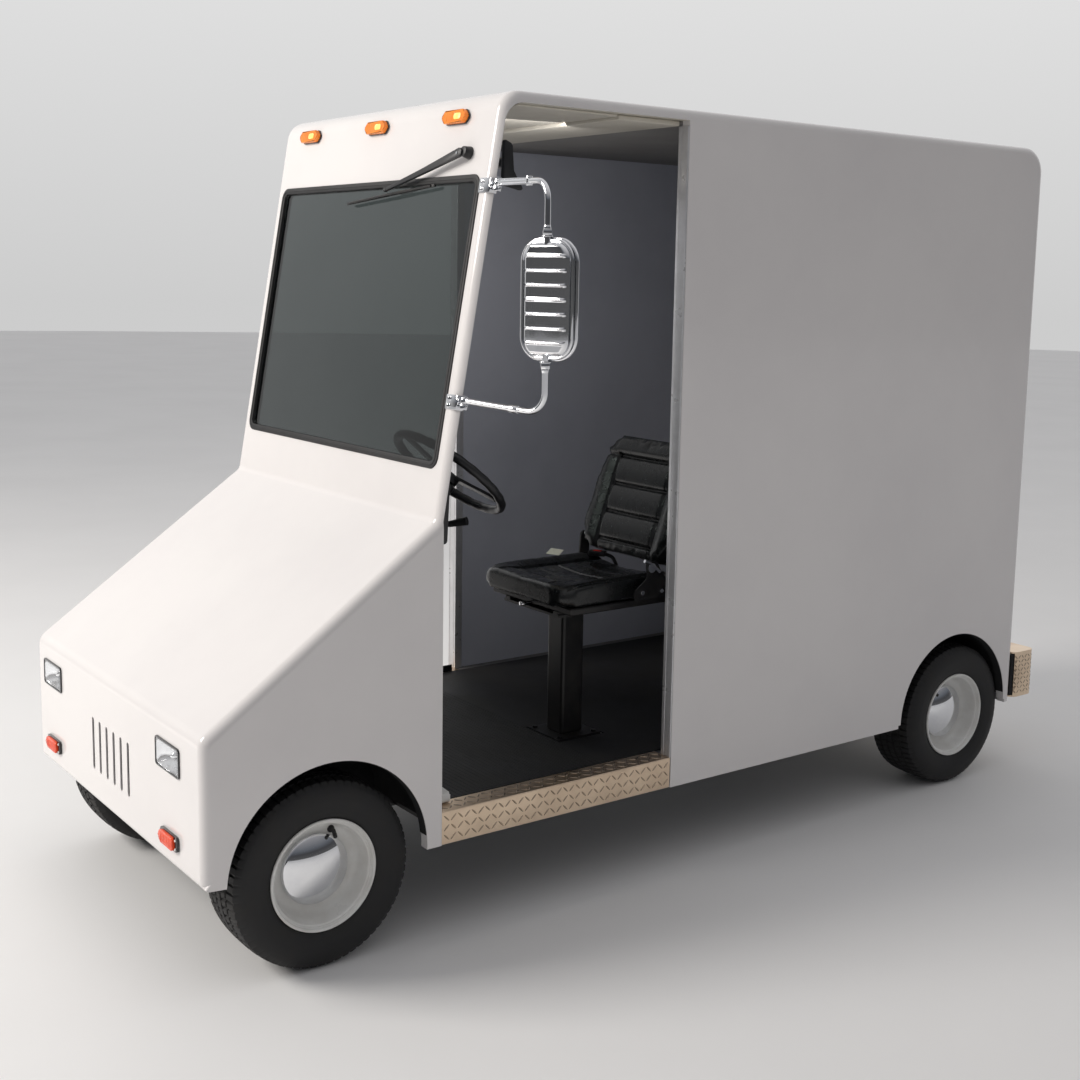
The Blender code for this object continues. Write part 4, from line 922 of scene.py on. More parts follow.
def signals():
    """Base, ribbed lens and screws of each turn signal."""
    for _, hand in SIDES:
        x, z, half_w, half_h, low, high = front_face(f"turn_signal_{hand}")
        base = slab(rectangle(x - half_w, x + half_w, z - half_h, z + half_h, 0.007), -high.y,
                    -high.y + 0.0075, LENGTHWAYS, 0.0012)
        piece(f"signal_base_{hand}", base, GLOSSY, f"turn_signal_{hand}")
        corners = [(x - half_w + 0.003, z - half_h + 0.003), (x + half_w - 0.014, z - half_h + 0.003),
                   (x + half_w - 0.014, z + half_h - 0.003), (x - half_w + 0.003, z + half_h - 0.003)]
        lens = slab(rounded(corners, [0.016, 0.005, 0.005, 0.016], 8), -high.y + 0.0077, -low.y - 0.004,
                    LENGTHWAYS, 0.0042, 4)
        ribs = [slab(rectangle(x - half_w + 0.02 + 0.011 * k, x - half_w + 0.0225 + 0.011 * k,
                               z - half_h + 0.008, z + half_h - 0.008, 0.001, 3),
                     -low.y - 0.005, -low.y - 0.0034, LENGTHWAYS, 0.0003) for k in range(7)]
        piece(f"signal_lens_{hand}", joined(lens, *ribs), RED, sharp=50)
        screws = [rod((x + half_w - 0.007, high.y - 0.006, z + s * 0.012),
                      (x + half_w - 0.007, high.y - 0.0105, z + s * 0.012), 0.0034, bevel=0.0008)
                  for s in (-1.0, 1.0)]
        piece(f"signal_screws_{hand}", joined(*screws), RIM)


def octagon(x, z, half_w, half_h, corner):
    """A rectangle with cut corners."""
    corner = min(corner, half_h - 0.001)
    return [(x - half_w, z - half_h + corner), (x - half_w + corner, z - half_h),
            (x + half_w - corner, z - half_h), (x + half_w, z - half_h + corner),
            (x + half_w, z + half_h - corner), (x + half_w - corner, z + half_h),
            (x - half_w + corner, z + half_h), (x - half_w, z + half_h - corner)]


MARKERS_Z = 2.266
MARKERS_X = ((0.432, "left"), (-0.008, "centre"), (-0.44, "right"))


def markers():
    """Three amber roof lamps."""
    z = up_screen(MARKERS_Z)
    for x, place in MARKERS_X:
        base = slab(rounded(octagon(x, z, 0.062, 0.02, 0.015), 0.003, 3), 0.0004, 0.005, SCREEN, 0.001)
        piece(f"marker_base_{place}", base, GLOSSY, f"marker_lamp_{place}")
        lens = slab(rounded(octagon(x, z, 0.0595, 0.018, 0.014), 0.003, 3), 0.0052, 0.0165, SCREEN,
                    0.004, 4)
        steps = [slab(rectangle(x - 0.048 + 0.0125 * k, x - 0.0455 + 0.0125 * k, z - 0.0125, z + 0.0125,
                                0.001, 2), 0.0155, 0.0172, SCREEN, 0.0004) for k in range(8)]
        piece(f"marker_lens_{place}", joined(lens, *steps), AMBER, sharp=50)
        # A glowing patch on the right half of each lens is a painted highlight.
        spot = slab(rectangle(x + 0.002, x + 0.036, z - 0.0085, z + 0.0085, 0.006), 0.016, 0.0174, SCREEN,
                    0.0006)
        piece(f"marker_glint_{place}", spot, MARKER_GLINT)


def windshield():
    """Gasket, its locking strip, and the glass."""
    low, high = up_screen(GLASS_LOW_Z) + 0.0003, up_screen(GLASS_TOP_Z) - 0.0003
    wide = GLASS_HALF - 0.0003

    def outline(trim, radius):
        return rectangle(-wide + trim, wide - trim, low + trim, high - trim, radius, 8)
    outer = ring(outline(0.0, 0.035), outline(0.02, 0.018), -0.028, 0.004, SCREEN, 0.0024)
    strip = ring(outline(0.0085, 0.028), outline(0.0125, 0.024), 0.003, 0.0054, SCREEN, 0.0008)
    piece("windshield_rubber", joined(outer, strip), RUBBER, "windshield_gasket")
    # The pane's dark teal is partly painted reflection.
    pane = slab(outline(0.0204, 0.0178), -0.012, -0.006, SCREEN, 0.0008)
    piece("windshield_pane", pane, TINTED_GLASS_AND_REFLECTION, "windshield_glass", sharp=20)


WIPER_PIVOT_KNEE_TIP = ((0.52, 2.165), (0.33, 2.119), (0.13, 2.074))


def wiper():
    """Arm with its pivot boss, and the blade with its bridges."""
    pivot, knee, tip = [Vector((x, up_screen(z), 0.0)) for x, z in WIPER_PIVOT_KNEE_TIP]
    across = Vector((-(knee - pivot).y, (knee - pivot).x, 0.0)).normalized()
    head = [pivot + across * 0.0125, knee + across * 0.0075, tip + across * 0.0045,
            tip - across * 0.0045, knee - across * 0.0075, pivot - across * 0.0125]
    foot = WIPER_PIVOT_KNEE_TIP[0]
    boss = rod(on_screen(*foot, 0.0004), on_screen(*foot, 0.024), 0.018, 0.014, bevel=0.001)
    cover = slab(rounded([(p.x, p.y) for p in head], [0.012, 0.02, 0.004, 0.004, 0.02, 0.012], 6), 0.02,
                 0.029, SCREEN, 0.0022, 3)
    hook = rod(SCREEN @ Vector((tip.x, tip.y, 0.02)), SCREEN @ Vector((tip.x, tip.y, 0.03)), 0.006,
               bevel=0.001)
    piece("wiper_arm_cover", joined(boss, cover, hook), PLASTIC, "wiper_arm", body="wiper")
    pin = rod(on_screen(0.5, 2.16, 0.0285), on_screen(0.5, 2.16, 0.0312), 0.0035)
    piece("wiper_arm_pin", pin, CHROME, body="wiper")
    line = SCREEN @ at((0.128, up_screen(2.062), 0.0), math.radians(4.5))
    rubber = moved(block((-0.25, -0.0025, 0.0045), (0.25, 0.0025, 0.0105), 0.0008), line)
    spine = moved(block((-0.247, -0.0045, 0.0098), (0.247, 0.0045, 0.0115), 0.0006), line)
    bridge = []
    for x0, x1, top in ((-0.135, 0.135, 0.0175), (-0.235, -0.055, 0.015), (0.055, 0.235, 0.015)):
        path = [((x0 + (x1 - x0) * t), 0.0, 0.0125 + (top - 0.0125) * math.sin(math.pi * t) ** 0.5)
                for t in np.linspace(0.0, 1.0, 15)]
        bridge.append(moved(tube(path, 0.0032, 10), line))
    piece("wiper_blade_rubber", rubber, RUBBER, "wiper_blade", body="wiper")
    piece("wiper_blade_bridge", joined(spine, *bridge), STEEL, body="wiper")


# ---------------------------------------------------------------- aluminium sill and bumper
def lozenges(u0, u1, v0, v1, placed, pitch=0.031, length=0.0255, width=0.0056, height=0.0017):
    """Raised tread bars at alternating slants over a local rectangle, on local z = 0."""
    outline = []
    for a in np.linspace(0.0, 2.0 * math.pi, 11)[:-1]:
        outline.append((0.5 * length * math.cos(a), 0.5 * width * math.sin(a)
                        * (1.0 - 0.35 * abs(math.cos(a)))))
    points, faces = [], []
    rows = max(1, int((v1 - v0) / (pitch * 0.72)))
    columns = int((u1 - u0) / (pitch * 0.72))
    for j in range(rows):
        for i in range(columns):
            u = u0 + (i + 0.5) * (u1 - u0) / columns
            v = v0 + (j + 0.5) * (v1 - v0) / rows
            slant = math.radians(45.0 if (i + j) % 2 else -45.0)
            base = len(points)
            for scale, z in ((1.0, -0.0006), (1.0, 0.0), (0.55, height)):
                for x, y in outline:
                    x, y = x * (scale ** 0.35), y * scale
                    points.append((u + x * math.cos(slant) - y * math.sin(slant),
                                   v + x * math.sin(slant) + y * math.cos(slant), z))
            for level in (0, 1):
                for k in range(10):
                    m = (k + 1) % 10
                    a = base + level * 10
                    faces.append((a + k, a + m, a + 10 + m, a + 10 + k))
            faces.append(tuple(base + 20 + k for k in range(10)))
            faces.append(tuple(base + k for k in range(10))[::-1])
    return from_lists(points, faces, placed)


def plate_frame(origin, across, up):
    """Local X along across, local Y along up, local Z away from the plate."""
    across, up = Vector(across), Vector(up)
    out = across.cross(up)
    return Matrix.Translation(origin) @ Matrix((across, up, out)).transposed().to_4x4()


def sills():
    """Tread-plate angles under the doorways."""
    low, high = box("sill_plate_left")
    x0 = 0.6405
    section = rounded([(x0, low.z), (high.x, low.z), (high.x, high.z), (low.x, high.z),
                       (low.x, high.z - 0.003), (x0, high.z - 0.003)], [0, 0.001, 0.0028, 0, 0, 0.001], 4)
    angle = slab(section, -high.y, -low.y, LENGTHWAYS)
    face = plate_frame((high.x, low.y, low.z), (0, 1, 0), (0, 0, 1))
    long = high.y - low.y
    front = lozenges(0.004, long - 0.004, 0.006, high.z - low.z - 0.007, face)
    top = lozenges(0.008, long - 0.008, 0.006, high.x - low.x - 0.006,
                   plate_frame((high.x, low.y, high.z), (0, 1, 0), (-1, 0, 0)))
    # The plate's tan is painted reflection of warm ground; the darker tread bars are painted shade.
    for name, mesh, material, replaced in (("plate", angle, PLATE_WITH_PAINTED_REFLECTION, ["sill_plate_"]),
                                           ("tread", joined(front, top), TREAD_BARS_PAINTED_SHADE, [])):
        for one, hand in ((mesh, "left"), (mirrored(mesh.copy()), "right")):
            piece(f"sill_{name}_{hand}_detail", one, material, [r + hand for r in replaced], sharp=25)


def bumper():
    """A hollow tread-plate bar round the rear corners."""
    low, high = box("rear_bumper")
    plan = rectangle(low.x, high.x, low.y, high.y, 0.03, 10)
    hollow = rectangle(low.x + 0.006, high.x - 0.006, low.y - 0.02, high.y - 0.006, 0.024, 10)
    shell = cut(slab(plan, low.z, high.z, bevel=0.011, segments=5), [slab(hollow, low.z + 0.006,
                                                                          high.z - 0.006)])
    small = (0.0225, 0.0175, 0.0046, 0.0012)
    fields = [lozenges(0.032, high.x - low.x - 0.032, 0.012, high.z - low.z - 0.012,
                       plate_frame((high.x, high.y, low.z), (-1, 0, 0), (0, 0, 1)), *small)]
    for x, turn in ((high.x, 1.0), (low.x, -1.0)):
        start = (x, low.y if turn > 0 else high.y, low.z)
        u0, u1 = (0.006, high.y - low.y - 0.028) if turn > 0 else (0.028, high.y - low.y - 0.006)
        fields.append(lozenges(u0, u1, 0.012, high.z - low.z - 0.012,
                               plate_frame(start, (0, turn, 0), (0, 0, 1)), *small))
    for angle in np.radians((22.5, 67.5)):
        for side in (1.0, -1.0):
            centre = Vector((side * (high.x - 0.03), high.y - 0.03, low.z))
            out = Vector((side * math.cos(angle), math.sin(angle), 0.0))
            along = Vector((0, 0, 1)).cross(out)
            fields.append(lozenges(-0.011, 0.011, 0.012, high.z - low.z - 0.012,
                                   plate_frame(centre + out * 0.0295, along, (0, 0, 1)), *small))
    # The bumper's tan is painted reflection of warm ground; its darker tread bars are painted shade.
    piece("bumper_shell", shell, PLATE_WITH_PAINTED_REFLECTION, "rear_bumper", sharp=25)
    piece("bumper_tread", joined(*fields), TREAD_BARS_PAINTED_SHADE, sharp=25)
    backing = block((low.x + 0.008, REAR_Y + 0.0015, low.z + 0.008), (high.x - 0.008, low.y + 0.012,
                                                                    high.z - 0.008), 0.002)
    piece("bumper_backing", backing, DARK_LINER_AND_SHADE)


def jambs():
    """Aluminium channels on the doorways' rear edges."""
    for side, hand in SIDES:
        low, high = box(f"door_jamb_{hand}")
        x0, x1 = sorted((abs(low.x), abs(high.x)))
        front, back = low.y, high.y
        channel = [(x0, front), (x1, front), (x1, front + 0.0034), (0.611, front + 0.0034), (0.611, back),
                   (x0, back)]
        jamb = softened(slab(channel, low.z, high.z), 0.0007, 40.0)
        lips = joined(*[rod((x, front + 0.0012, low.z), (x, front + 0.0012, high.z), 0.0022, sides=12)
                        for x in (x1 - 0.0022, x0 + 0.012)])
        jamb = joined(jamb, lips)
        jamb = mirrored(jamb) if side < 0.0 else jamb
        piece(f"jamb_channel_{hand}", jamb, CHANNEL, f"door_jamb_{hand}")


# ---------------------------------------------------------------- mirror
MIRROR_TUBE = Vector((0.911, -0.812, 1.78))
MIRROR_HALF = 0.157
CLAMPS = ((1.5, "lower"), (2.075, "upper"))


def pivot_point(z, along=0.0):
    """A point on the mirror arm's axis."""
    return SCREEN @ Vector((0.668, up_screen(z) + along, -0.008))


def mirror():
    """Clamps, bent arm, and the ribbed head with its glass."""
    upright = Matrix.Rotation(-math.pi / 2.0, 4, "X")
    for z, place in CLAMPS:
        height, wide = up_screen(z), HALF_WIDTH
        strap = [(0.596, 0.0004), (wide + 0.0004, 0.0004), (wide + 0.0004, -0.0175), (0.616, -0.0175),
                 (0.616, -0.0215), (wide + 0.0045, -0.0215), (wide + 0.0045, 0.0045), (0.596, 0.0045)]
        strap = rounded([(x, -out) for x, out in strap], [0.001, 0.001, 0.001, 0.001, 0.001, 0.004, 0.004,
                                                          0.001], 4)
        placed = SCREEN @ Matrix.Translation((0.0, height, 0.0)) @ upright
        strap = slab(strap, -0.02, 0.02, placed, 0.0009)
        lug = moved(block((wide + 0.002, height - 0.016, -0.0145),
                          (0.67, height - 0.002, -0.0015), 0.0025), SCREEN)
        boss = rod(pivot_point(z, -0.0165), pivot_point(z, -0.001), 0.0112, bevel=0.0015)
        pin = rod(pivot_point(z, -0.01), pivot_point(z, 0.0195), 0.005)
        nut = rod(pivot_point(z, 0.0165), pivot_point(z, 0.0215), 0.0082, sides=6, bevel=0.0008)
        bolts = []
        for offset in (-0.01, 0.01):
            foot = SCREEN @ Vector((0.61, height + offset, 0.004))
            bolts.append(rod(foot, SCREEN @ Vector((0.61, height + offset, 0.0095)), 0.0062, sides=6,
                             bevel=0.0008))
            bolts.append(rod(foot, SCREEN @ Vector((0.61, height + offset, 0.0052)), 0.0082,
                             bevel=0.0003))
        piece(f"mirror_strap_{place}", joined(strap, lug, boss, pin, nut, *bolts), CHROME,
              f"mirror_clamp_{place}")

    x, y, z = MIRROR_TUBE.x, MIRROR_TUBE.y, MIRROR_TUBE.z
    low, high = [pivot_point(height, 0.008) for height, _ in CLAMPS]
    start = low + Vector((0.009, 0.002, 0.0))
    end = high + Vector((0.009, 0.0, 0.0))
    path = bent([start, (x, y, low.z - 0.018), (x, y, high.z - 0.004), end], 0.05, 10)
    arm = tube(path, 0.008, 24)
    rings = [rod(pivot_point(c, 0.0), pivot_point(c, 0.016), 0.0112, bevel=0.0015) for c, _ in CLAMPS]
    nuts = []
    for d in (-1.0, 1.0):
        near, far = z + d * (MIRROR_HALF + 0.003), z + d * (MIRROR_HALF + 0.019)
        nuts.append(rod((x, y, near), (x, y, far), 0.0128, sides=6, bevel=0.0012))
        nuts.append(rod((x, y, far), (x, y, far + d * 0.01), 0.0102, 0.0088, bevel=0.0006))
        nuts.append(rod((x, y, near - d * 0.003), (x, y, near), 0.015, bevel=0.0005))
    to_elbow = Vector((x, y, low.z - 0.018)) - start
    sleeve_at = start + to_elbow * 0.56
    sleeve = rod(sleeve_at, sleeve_at + to_elbow.normalized() * 0.026, 0.0104, bevel=0.0012)
    blades = []
    across = (Vector((x, y, high.z - 0.004)) - end)
    for s in (-1.0, 1.0):
        lift = Vector((0.0, 0.0, s * 0.0072))
        strip = block((0.0, -0.0085, -0.0015), (across.length * 0.62, 0.0085, 0.0015), 0.0008)
        turn = across.to_track_quat("X", "Z").to_matrix().to_4x4()
        blades.append(moved(strip, Matrix.Translation(end + lift) @ turn))
    joint = end + across * 0.62
    reach = Vector((0, 0, 0.0125))
    blades.append(rod(joint - reach, joint + reach, 0.0092, bevel=0.0012))
    piece("mirror_arm_tube", joined(arm, sleeve, *rings, *nuts, *blades), CHROME,
          "mirror_arm", body="mirror_arm")

    facing = at(MIRROR_TUBE, math.radians(18.0)) @ Matrix.Rotation(math.pi / 2.0, 4, "X")
    width, height = 0.182, 2.0 * MIRROR_HALF
    outer, inner = [tube([(p[0], p[1], out) for p in oval(width - narrow, height - short, corner)],
                         thick, 12, True)
                    for narrow, short, corner, out, thick in ((0.01, 0.01, 0.059, -0.0122, 0.0046),
                                                              (0.026, 0.018, 0.051, -0.0035, 0.0042))]
    shelf = ring(oval(width - 0.012, height - 0.012, 0.058),
                 oval(width - 0.034, height - 0.034, 0.047), -0.0158, -0.012)
    half_w, half_h, corner, spacing = 0.073, 0.145, 0.044, 0.0365
    points = []
    columns = np.linspace(-1.0, 1.0, 41)
    for v in np.linspace(-half_h, half_h, 221):
        over = max(0.0, abs(v) - (half_h - corner))
        wide = half_w - corner + math.sqrt(max(0.0, corner ** 2 - over ** 2))
        for u in columns:
            edge = min((1.0 - abs(u)) * wide, half_h - abs(v))
            rise = 0.013 * min(1.0, max(0.0, edge) / 0.012) ** 0.5 + 0.0035 * (1.0 - u * u)
            near = abs(v - spacing * max(-3, min(3, round(v / spacing))))
            ends = min(1.0, max(0.0, (0.06 - abs(u) * wide) / 0.005)) ** 0.5
            rib = 0.0045 * max(0.0, 1.0 - (near / 0.004) ** 2) ** 0.5 * ends
            points.append((u * wide, v, -0.006 + rise + rib))
    plate = grid_pad(points, [(x, y, min(z, -0.006) - 0.003) for x, y, z in points], len(columns))
    head = joined(outer, inner, shelf, plate)
    piece("mirror_shell", moved(head, facing), CHROME, "mirror_head", body="mirror_head", sharp=50)
    glass = slab(oval(width - 0.013, height - 0.013, 0.058), -0.0193, -0.0163, facing, 0.0008)
    piece("mirror_silvered", glass, SILVER, "mirror_glass", body="mirror_head", sharp=20)


# ---------------------------------------------------------------- driver's place
STEERING_CENTRE = Vector((0.243, -0.675, 1.249))
STEERING_R, GRIP_R = 0.185, 0.0134
BACK_HINGE = Vector((0.243, 0.035, 0.955))
SEAT_X = BACK_HINGE.x
BACK_LEAN = math.radians(19.0)
SWELL_LIMIT = 0.006
COLUMN_AXIS = Vector((0.0, 0.656, 0.755)).normalized()


def steering():
    """Wheel with a finger-gripped rim and three spokes."""
    angles = np.linspace(0.0, 2.0 * math.pi, 97)[:-1]
    loop = [(STEERING_R * math.cos(a), STEERING_R * math.sin(a), 0.0) for a in angles]
    rim = tube(loop, [GRIP_R + 0.0007 * math.cos(24.0 * a) for a in angles], 18, True)
    hub = turned([(0.0, -0.033), (0.03, -0.033), (0.037, -0.028), (0.038, -0.012), (0.034, -0.005),
                  (0.027, -0.002), (0.026, -0.0035), (0.0, -0.0015)], 48)
    spokes = []
    for degrees in (90.0, 210.0, 330.0):
        outline = [(0.024, -0.019), (0.09, -0.0125), (0.176, -0.017), (0.176, 0.017), (0.09, 0.0125),
                   (0.024, 0.019)]
        spoke = slab(rounded(outline, [0, 0.06, 0, 0, 0.06, 0], 6), -0.0135, -0.0045, bevel=0.003,
                     segments=3)
        rib = slab(rectangle(0.045, 0.165, -0.004, 0.004, 0.0038), -0.005, -0.002, bevel=0.001)
        spokes.append(moved(joined(spoke, rib), Matrix.Rotation(math.radians(degrees), 4, "Z")))
    wheel = moved(joined(rim, hub, *spokes), facing_out(STEERING_CENTRE, COLUMN_AXIS))
    piece("steering_wheel_rim", wheel, PLASTIC, "steering_wheel", body="steering_wheel", sharp=40)


def groove(distance, half, depth):
    """How deep a sewn channel is at a distance from its middle."""
    return -depth * math.exp(-(distance / half) ** 2)


def step(low, high, value):
    """A smooth step from 0 to 1."""
    t = min(1.0, max(0.0, (value - low) / (high - low)))
    return t * t * (3.0 - 2.0 * t)


def cushion_shape(x, y):
    """Extra height of the seat cushion over its flat pad, for a point of its top."""
    edge = abs(x)
    rise = 0.016 * step(0.12, 0.19, edge) * (1.0 - 0.5 * step(0.05, 0.23, -0.2 - y))
    rise += 0.012 * step(-0.29, -0.38, y) * (1.0 - step(0.13, 0.19, edge))
    rise -= 0.006 * (1.0 - step(0.0, 0.14, edge)) * (1.0 - step(-0.3, -0.36, y))
    if -0.37 < y:
        rise += groove(edge - 0.136, 0.005, 0.009)
    if edge < 0.14:
        rise += groove(y + 0.335, 0.005, 0.008) + groove(y + 0.175, 0.005, 0.008)
        rise += groove(y + 0.255, 0.0045, 0.004)
        rise += groove(y + 0.095, 0.0045, 0.004)
    rise += groove(edge - 0.205, 0.0045, 0.003)
    return rise


def back_shape(x, z):
    """Extra thickness of the seat back over its flat pad."""
    edge = abs(x)
    wing = 0.012 * step(0.13, 0.185, edge) * (1.0 - step(0.25, 0.33, z))
    wing += 0.01 * step(0.285, 0.315, z)
    if z < 0.3:
        wing += groove(edge - 0.137, 0.005, 0.01)
    if edge < 0.14:
        for line, depth in ((0.292, 0.01), (0.196, 0.009), (0.1, 0.009), (0.004, 0.009)):
            wing += groove(z - line, 0.0055, depth)
        for middle in (0.244, 0.148, 0.052):
            wing += 0.006 * max(0.0, 1.0 - ((z - middle) / 0.045) ** 2)
    else:
        wing += groove(z - 0.292, 0.005, 0.006)
    return wing


def padded_mesh(start, limit):
    """The pad swelled by a cloth simulation, with no point further from its start than limit."""
    source = bpy.data.objects.new("pad", start)
    bpy.context.scene.collection.objects.link(source)
    remesh = source.modifiers.new("even", "REMESH")
    remesh.mode, remesh.voxel_size = "VOXEL", 0.006
    graph = bpy.context.evaluated_depsgraph_get()
    even = bpy.data.meshes.new_from_object(source.evaluated_get(graph))
    bpy.data.objects.remove(source, do_unlink=True)
    pad = bpy.data.objects.new("pad", even)
    bpy.context.scene.collection.objects.link(pad)
    rest = np.empty(len(even.vertices) * 3)
    even.vertices.foreach_get("co", rest)
    cloth = pad.modifiers.new("cloth", "CLOTH")
    settings = cloth.settings
    settings.quality, settings.mass = 5, 0.4
    settings.use_pressure, settings.uniform_pressure_force = True, 4.0
    settings.tension_stiffness = settings.compression_stiffness = settings.shear_stiffness = 25.0
    settings.bending_stiffness = 4.0
    settings.effector_weights.gravity = 0.0
    scene = bpy.context.scene
    for frame_number in range(1, 21):
        scene.frame_set(frame_number)
    graph = bpy.context.evaluated_depsgraph_get()
    swelled = bpy.data.meshes.new_from_object(pad.evaluated_get(graph))
    now = np.empty(len(rest))
    swelled.vertices.foreach_get("co", now)
    shift = (now - rest).reshape(-1, 3)
    length = np.linalg.norm(shift, axis=1, keepdims=True)
    shift *= np.minimum(1.0, limit / np.maximum(length, 1e-9))
    swelled.vertices.foreach_set("co", (rest.reshape(-1, 3) + shift).ravel())
    bpy.data.objects.remove(pad, do_unlink=True)
    scene.frame_set(1)
    return swelled


def subdivided(mesh):
    """One step of subdivision."""
    source = bpy.data.objects.new("finer", mesh)
    finer = source.modifiers.new("finer", "SUBSURF")
    finer.levels = finer.render_levels = 1
    return evaluated(source)


WELT_R = 0.0024


def piping(surface, paths, direction):
    """Welting laid along paths, dropped on a surface from outside."""
    cage = bmesh.new()
    cage.from_mesh(surface)
    tree = BVHTree.FromBMesh(cage)
    cage.free()
    cords = []
    for path in paths:
        laid = []
        for point in smooth_path(path, 10):
            hit = tree.ray_cast(point - direction * 0.3, direction)[0]
            if hit is not None:
                laid.append(hit - direction * WELT_R * 0.3)
        if len(laid) > 3:
            cords.append(tube(laid, WELT_R, 8))
    return joined(*cords)


def seat():
    """Cushion, back, belt buckle and recliner."""
    x = SEAT_X
    low, high = box("seat_cushion")
    plan = rounded([(-0.228, low.y + 0.006), (0.228, low.y + 0.006), (0.224, high.y - 0.006),
                    (-0.224, high.y - 0.006)], [0.05, 0.06, 0.03, 0.03], 8)
    pad = slab(plan, low.z + 0.006, high.z - 0.008, bevel=0.022, segments=4)
    pad = subdivided(padded_mesh(pad, SWELL_LIMIT))
    for vertex in pad.vertices:
        top = step(0.862, 0.884, vertex.co.z)
        vertex.co.z += cushion_shape(vertex.co.x, vertex.co.y) * top
    welts = piping(pad, [[(s * 0.136, -0.4, 0.9), (s * 0.138, -0.2, 0.9), (s * 0.136, 0.02, 0.9)]
                         for s in (-1.0, 1.0)]
                   + [[(-0.134, -0.335, 0.9), (0.0, -0.338, 0.9), (0.134, -0.335, 0.9)],
                      [(-0.134, -0.175, 0.9), (0.0, -0.175, 0.9), (0.134, -0.175, 0.9)]],
                   Vector((0.0, 0.0, -1.0)))
    shift = Matrix.Translation((x, 0.0, 0.0))
    made = piece("seat_cushion_pad", moved(pad, shift), VINYL, "seat_cushion", body="seat_slide", sharp=60)
    piece("seat_cushion_welts", moved(welts, shift), PIPING, body="seat_slide")

    placed = at(BACK_HINGE, -BACK_LEAN, "X")
    outline = rounded([(-0.19, -0.036), (0.19, -0.036), (0.23, 0.04), (0.226, 0.19), (0.198, 0.366),
                       (-0.198, 0.366), (-0.226, 0.19), (-0.23, 0.04)],
                      [0.03, 0.03, 0.05, 0.1, 0.055, 0.055, 0.1, 0.05], 6)
    pad = slab(outline, -0.034, 0.032, LENGTHWAYS, 0.02, 4)
    pad = subdivided(padded_mesh(pad, SWELL_LIMIT))
    for vertex in pad.vertices:
        front = step(-0.012, -0.032, vertex.co.y)
        vertex.co.y -= back_shape(vertex.co.x, vertex.co.z) * front
    lines = [[(s * 0.137, 0.0, -0.02), (s * 0.139, 0.0, 0.13), (s * 0.137, 0.0, 0.29)]
             for s in (-1.0, 1.0)]
    lines += [[(-0.137, 0.0, z), (0.0, 0.0, z - 0.002), (0.137, 0.0, z)]
              for z in (0.292, 0.196, 0.1, 0.004)]
    welts = piping(pad, lines, Vector((0.0, 1.0, 0.0)))
    made = piece("seat_back_pad", moved(pad, placed), VINYL, "seat_back", body="seat_back", sharp=60)
    piece("seat_back_welts", moved(welts, placed), PIPING, body="seat_back")
    pins = []
    for s in (-1.0, 1.0):
        pins.append(moved(rod((s * 0.212, 0.0, 0.0), (s * 0.2555, 0.0, 0.0), 0.008, bevel=0.001), placed))
        pins.append(moved(rod((s * 0.2535, 0.0, 0.0), (s * 0.2585, 0.0, 0.0), 0.0125, sides=6, bevel=0.001),
                          placed))
        ear = rounded([(0.0, -0.014), (0.075, -0.026), (0.092, 0.018), (0.0, 0.014)], 0.008, 4)
        pins.append(moved(slab([(p[1], p[0]) for p in ear], s * 0.236 - 0.0015, s * 0.236 + 0.0015,
                               SIDEWAYS), placed))
    piece("seat_hinge_pins", joined(*pins), CHROME, body="seat_back")

    placed = at((0.11, 0.0, 0.914), 0.6)
    piece("belt_buckle", moved(block((-0.03, -0.014, -0.009), (0.03, 0.014, 0.009), 0.004), placed),
          PLASTIC, body="seat_slide")
    piece("belt_button", moved(block((-0.014, -0.01, 0.005), (0.014, 0.01, 0.0102), 0.001), placed),
          BUTTON, body="seat_slide")
    stalk = tube(smooth_path([(0.18, 0.028, 0.88), (0.158, 0.026, 0.905), (0.13, 0.014, 0.913)], 4),
                 0.006, 10)
    piece("belt_stalk", stalk, PLASTIC, body="seat_slide")
    tag = moved(block((-0.026, -0.017, -0.0008), (0.026, 0.017, 0.0008), 0.0004),
                at((0.05, -0.135, 0.922), 0.35) @ Matrix.Rotation(0.42, 4, "X"))
    piece("seat_blank_tag", tag, TAG, body="seat_slide")
    side = SEAT_X + 0.247
    bracket = rounded([(-0.15, 0.838), (0.02, 0.838), (-0.03, 0.9), (-0.06, 0.958), (-0.105, 0.958),
                       (-0.098, 0.905), (-0.15, 0.868)], [0.01, 0.004, 0.02, 0.012, 0.012, 0.02, 0.01], 5)
    bracket = slab(bracket, side - 0.0015, side + 0.0015, SIDEWAYS)
    bolts = [rod((side + 0.001, y, z), (side + 0.007, y, z), 0.007, bevel=0.0015)
             for y, z in ((-0.118, 0.862), (-0.04, 0.86))]
    pawl = [rod((side - 0.004, -0.082, 0.938), (side + 0.006, -0.082, 0.938), 0.016, bevel=0.0015),
            tube(smooth_path([(side + 0.003, -0.112, 0.962), (side + 0.004, -0.085, 0.95),
                              (side + 0.004, -0.05, 0.922)], 5), 0.0055, 10)]
    piece("recliner_bracket", bracket, STEEL, body="seat_slide")
    piece("recliner_fixings", joined(*bolts, *pawl), CHROME, body="seat_slide")
    knob = joined(rod((x + 0.02, -0.366, 0.8215), (x + 0.02, -0.406, 0.8205), 0.004),
                  rod((x + 0.02, -0.404, 0.8205), (x + 0.02, -0.424, 0.8195), 0.008, bevel=0.002))
    piece("seat_slide_knob", knob, CHROME, body="seat_slide")


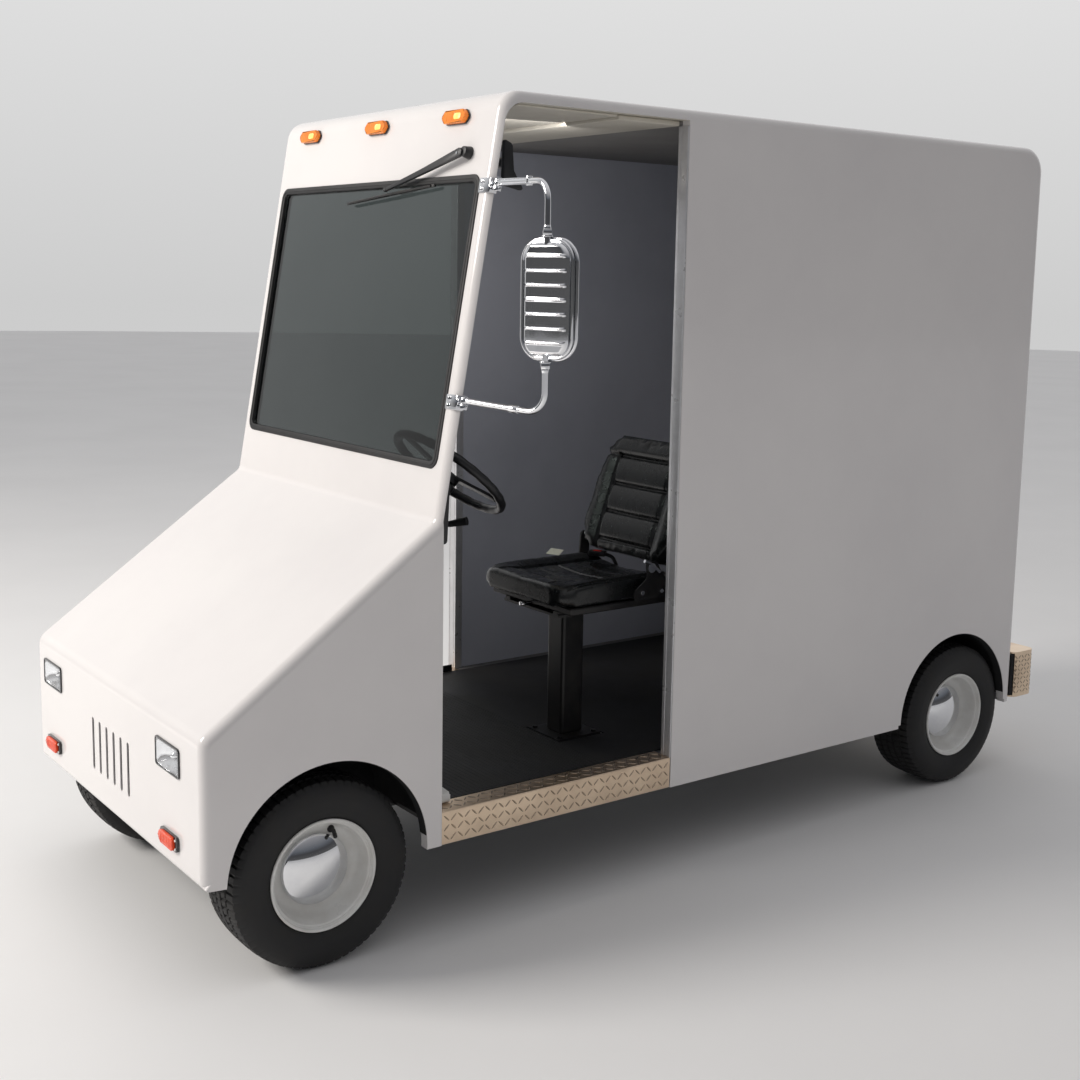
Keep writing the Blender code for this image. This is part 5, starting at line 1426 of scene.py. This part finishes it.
def interior():
    """Dashboard pad, mat ribs and lip, wiper motor and floor duct."""
    low, high = box("dashboard")
    outline = rounded([(-0.9275, 1.105), (-0.893, 1.105), (-0.885, 1.275), (-0.905, 1.275),
                       (-0.9275, 1.172)], [0.002, 0.01, 0.01, 0.006, 0.002], 4)
    piece("dashboard_pad", slab(outline, low.x, high.x, SIDEWAYS, 0.002), PLASTIC, "dashboard")
    low, high = box("floor_mat")
    ribs = [block((-0.555, y, high.z - 0.0005), (0.555, y + 0.006, high.z + 0.0011), 0.0004, 1)
            for y in np.arange(low.y + 0.01, -0.32, 0.016)]
    piece("mat_ribs", joined(*ribs), MAT)
    curb = [(0.5645, 0.369), (0.5685, 0.369), (0.5715, 0.392), (0.5675, 0.3925)]
    piece("mat_lip_right", mirrored(slab(curb, 0.15, 0.95, LENGTHWAYS)), MAT)
    outline = [(-0.738, 2.204), (-0.712, 2.19), (-0.706, 2.12), (-0.668, 2.066), (-0.742, 2.08)]
    motor = joined(slab(rounded(outline, 0.006, 4), 0.592, 0.606, SIDEWAYS, 0.003),
                   rod((0.56, -0.722, 2.14), (0.594, -0.722, 2.14), 0.016, bevel=0.004))
    piece("wiper_motor", motor, PLASTIC)
    duct = rounded([(0.52, 0.369), (0.6, 0.369), (0.59, 0.395), (0.54, 0.4)], 0.008, 5)
    piece("cab_floor_duct", slab(duct, 0.885, 0.93, LENGTHWAYS, 0.006, 4), RIM)


REAR_LAMP_X, REAR_LAMP_R = 0.572, 0.04
REAR_LAMPS = ((0.64, RED, "tail_lamp"), (0.545, RIM, "reversing_lamp"))


def rear_end():
    """Round lamps on the rear corners."""
    for side, hand in SIDES:
        x = side * REAR_LAMP_X
        for z, material, name in REAR_LAMPS:
            base = rod((x, REAR_Y + 0.0002, z), (x, REAR_Y + 0.004, z), REAR_LAMP_R, bevel=0.001)
            piece(f"{name}_base_{hand}", base, GLOSSY)
            lens = dome((x, REAR_Y + 0.0035, z), REAR_LAMP_R - 0.004, 0.012, 48, (0.0, 1.0, 0.0))
            piece(f"{name}_lens_{hand}", lens, material, sharp=50)


def carried_over():
    """The CAD nodes that stay in view get these materials."""
    by_node = {"floor_deck": DECK, "floor_mat": MAT, "chassis_frame": STEEL, "front_axle": STEEL,
               "rear_axle": STEEL, "battery_pack": PLASTIC, "steering_column": PLASTIC,
               "seat_pedestal": STEEL, "knuckle_left": STEEL, "knuckle_right": STEEL, "tie_rod": STEEL,
               "signal_lever": PLASTIC, "brake_pedal": STEEL, "accelerator_pedal": RUBBER,
               "seat_base": STEEL, "rear_door": WHITE, "rear_door_handle": CHROME}
    for name, material in by_node.items():
        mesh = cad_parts[name].data
        mesh.materials.clear()
        mesh.materials.append(material)


camera()
stage()
moulded_body()
linings()
wheels()
headlamps()
signals()
markers()
windshield()
wiper()
sills()
bumper()
jambs()
mirror()
steering()
seat()
interior()
rear_end()
carried_over()
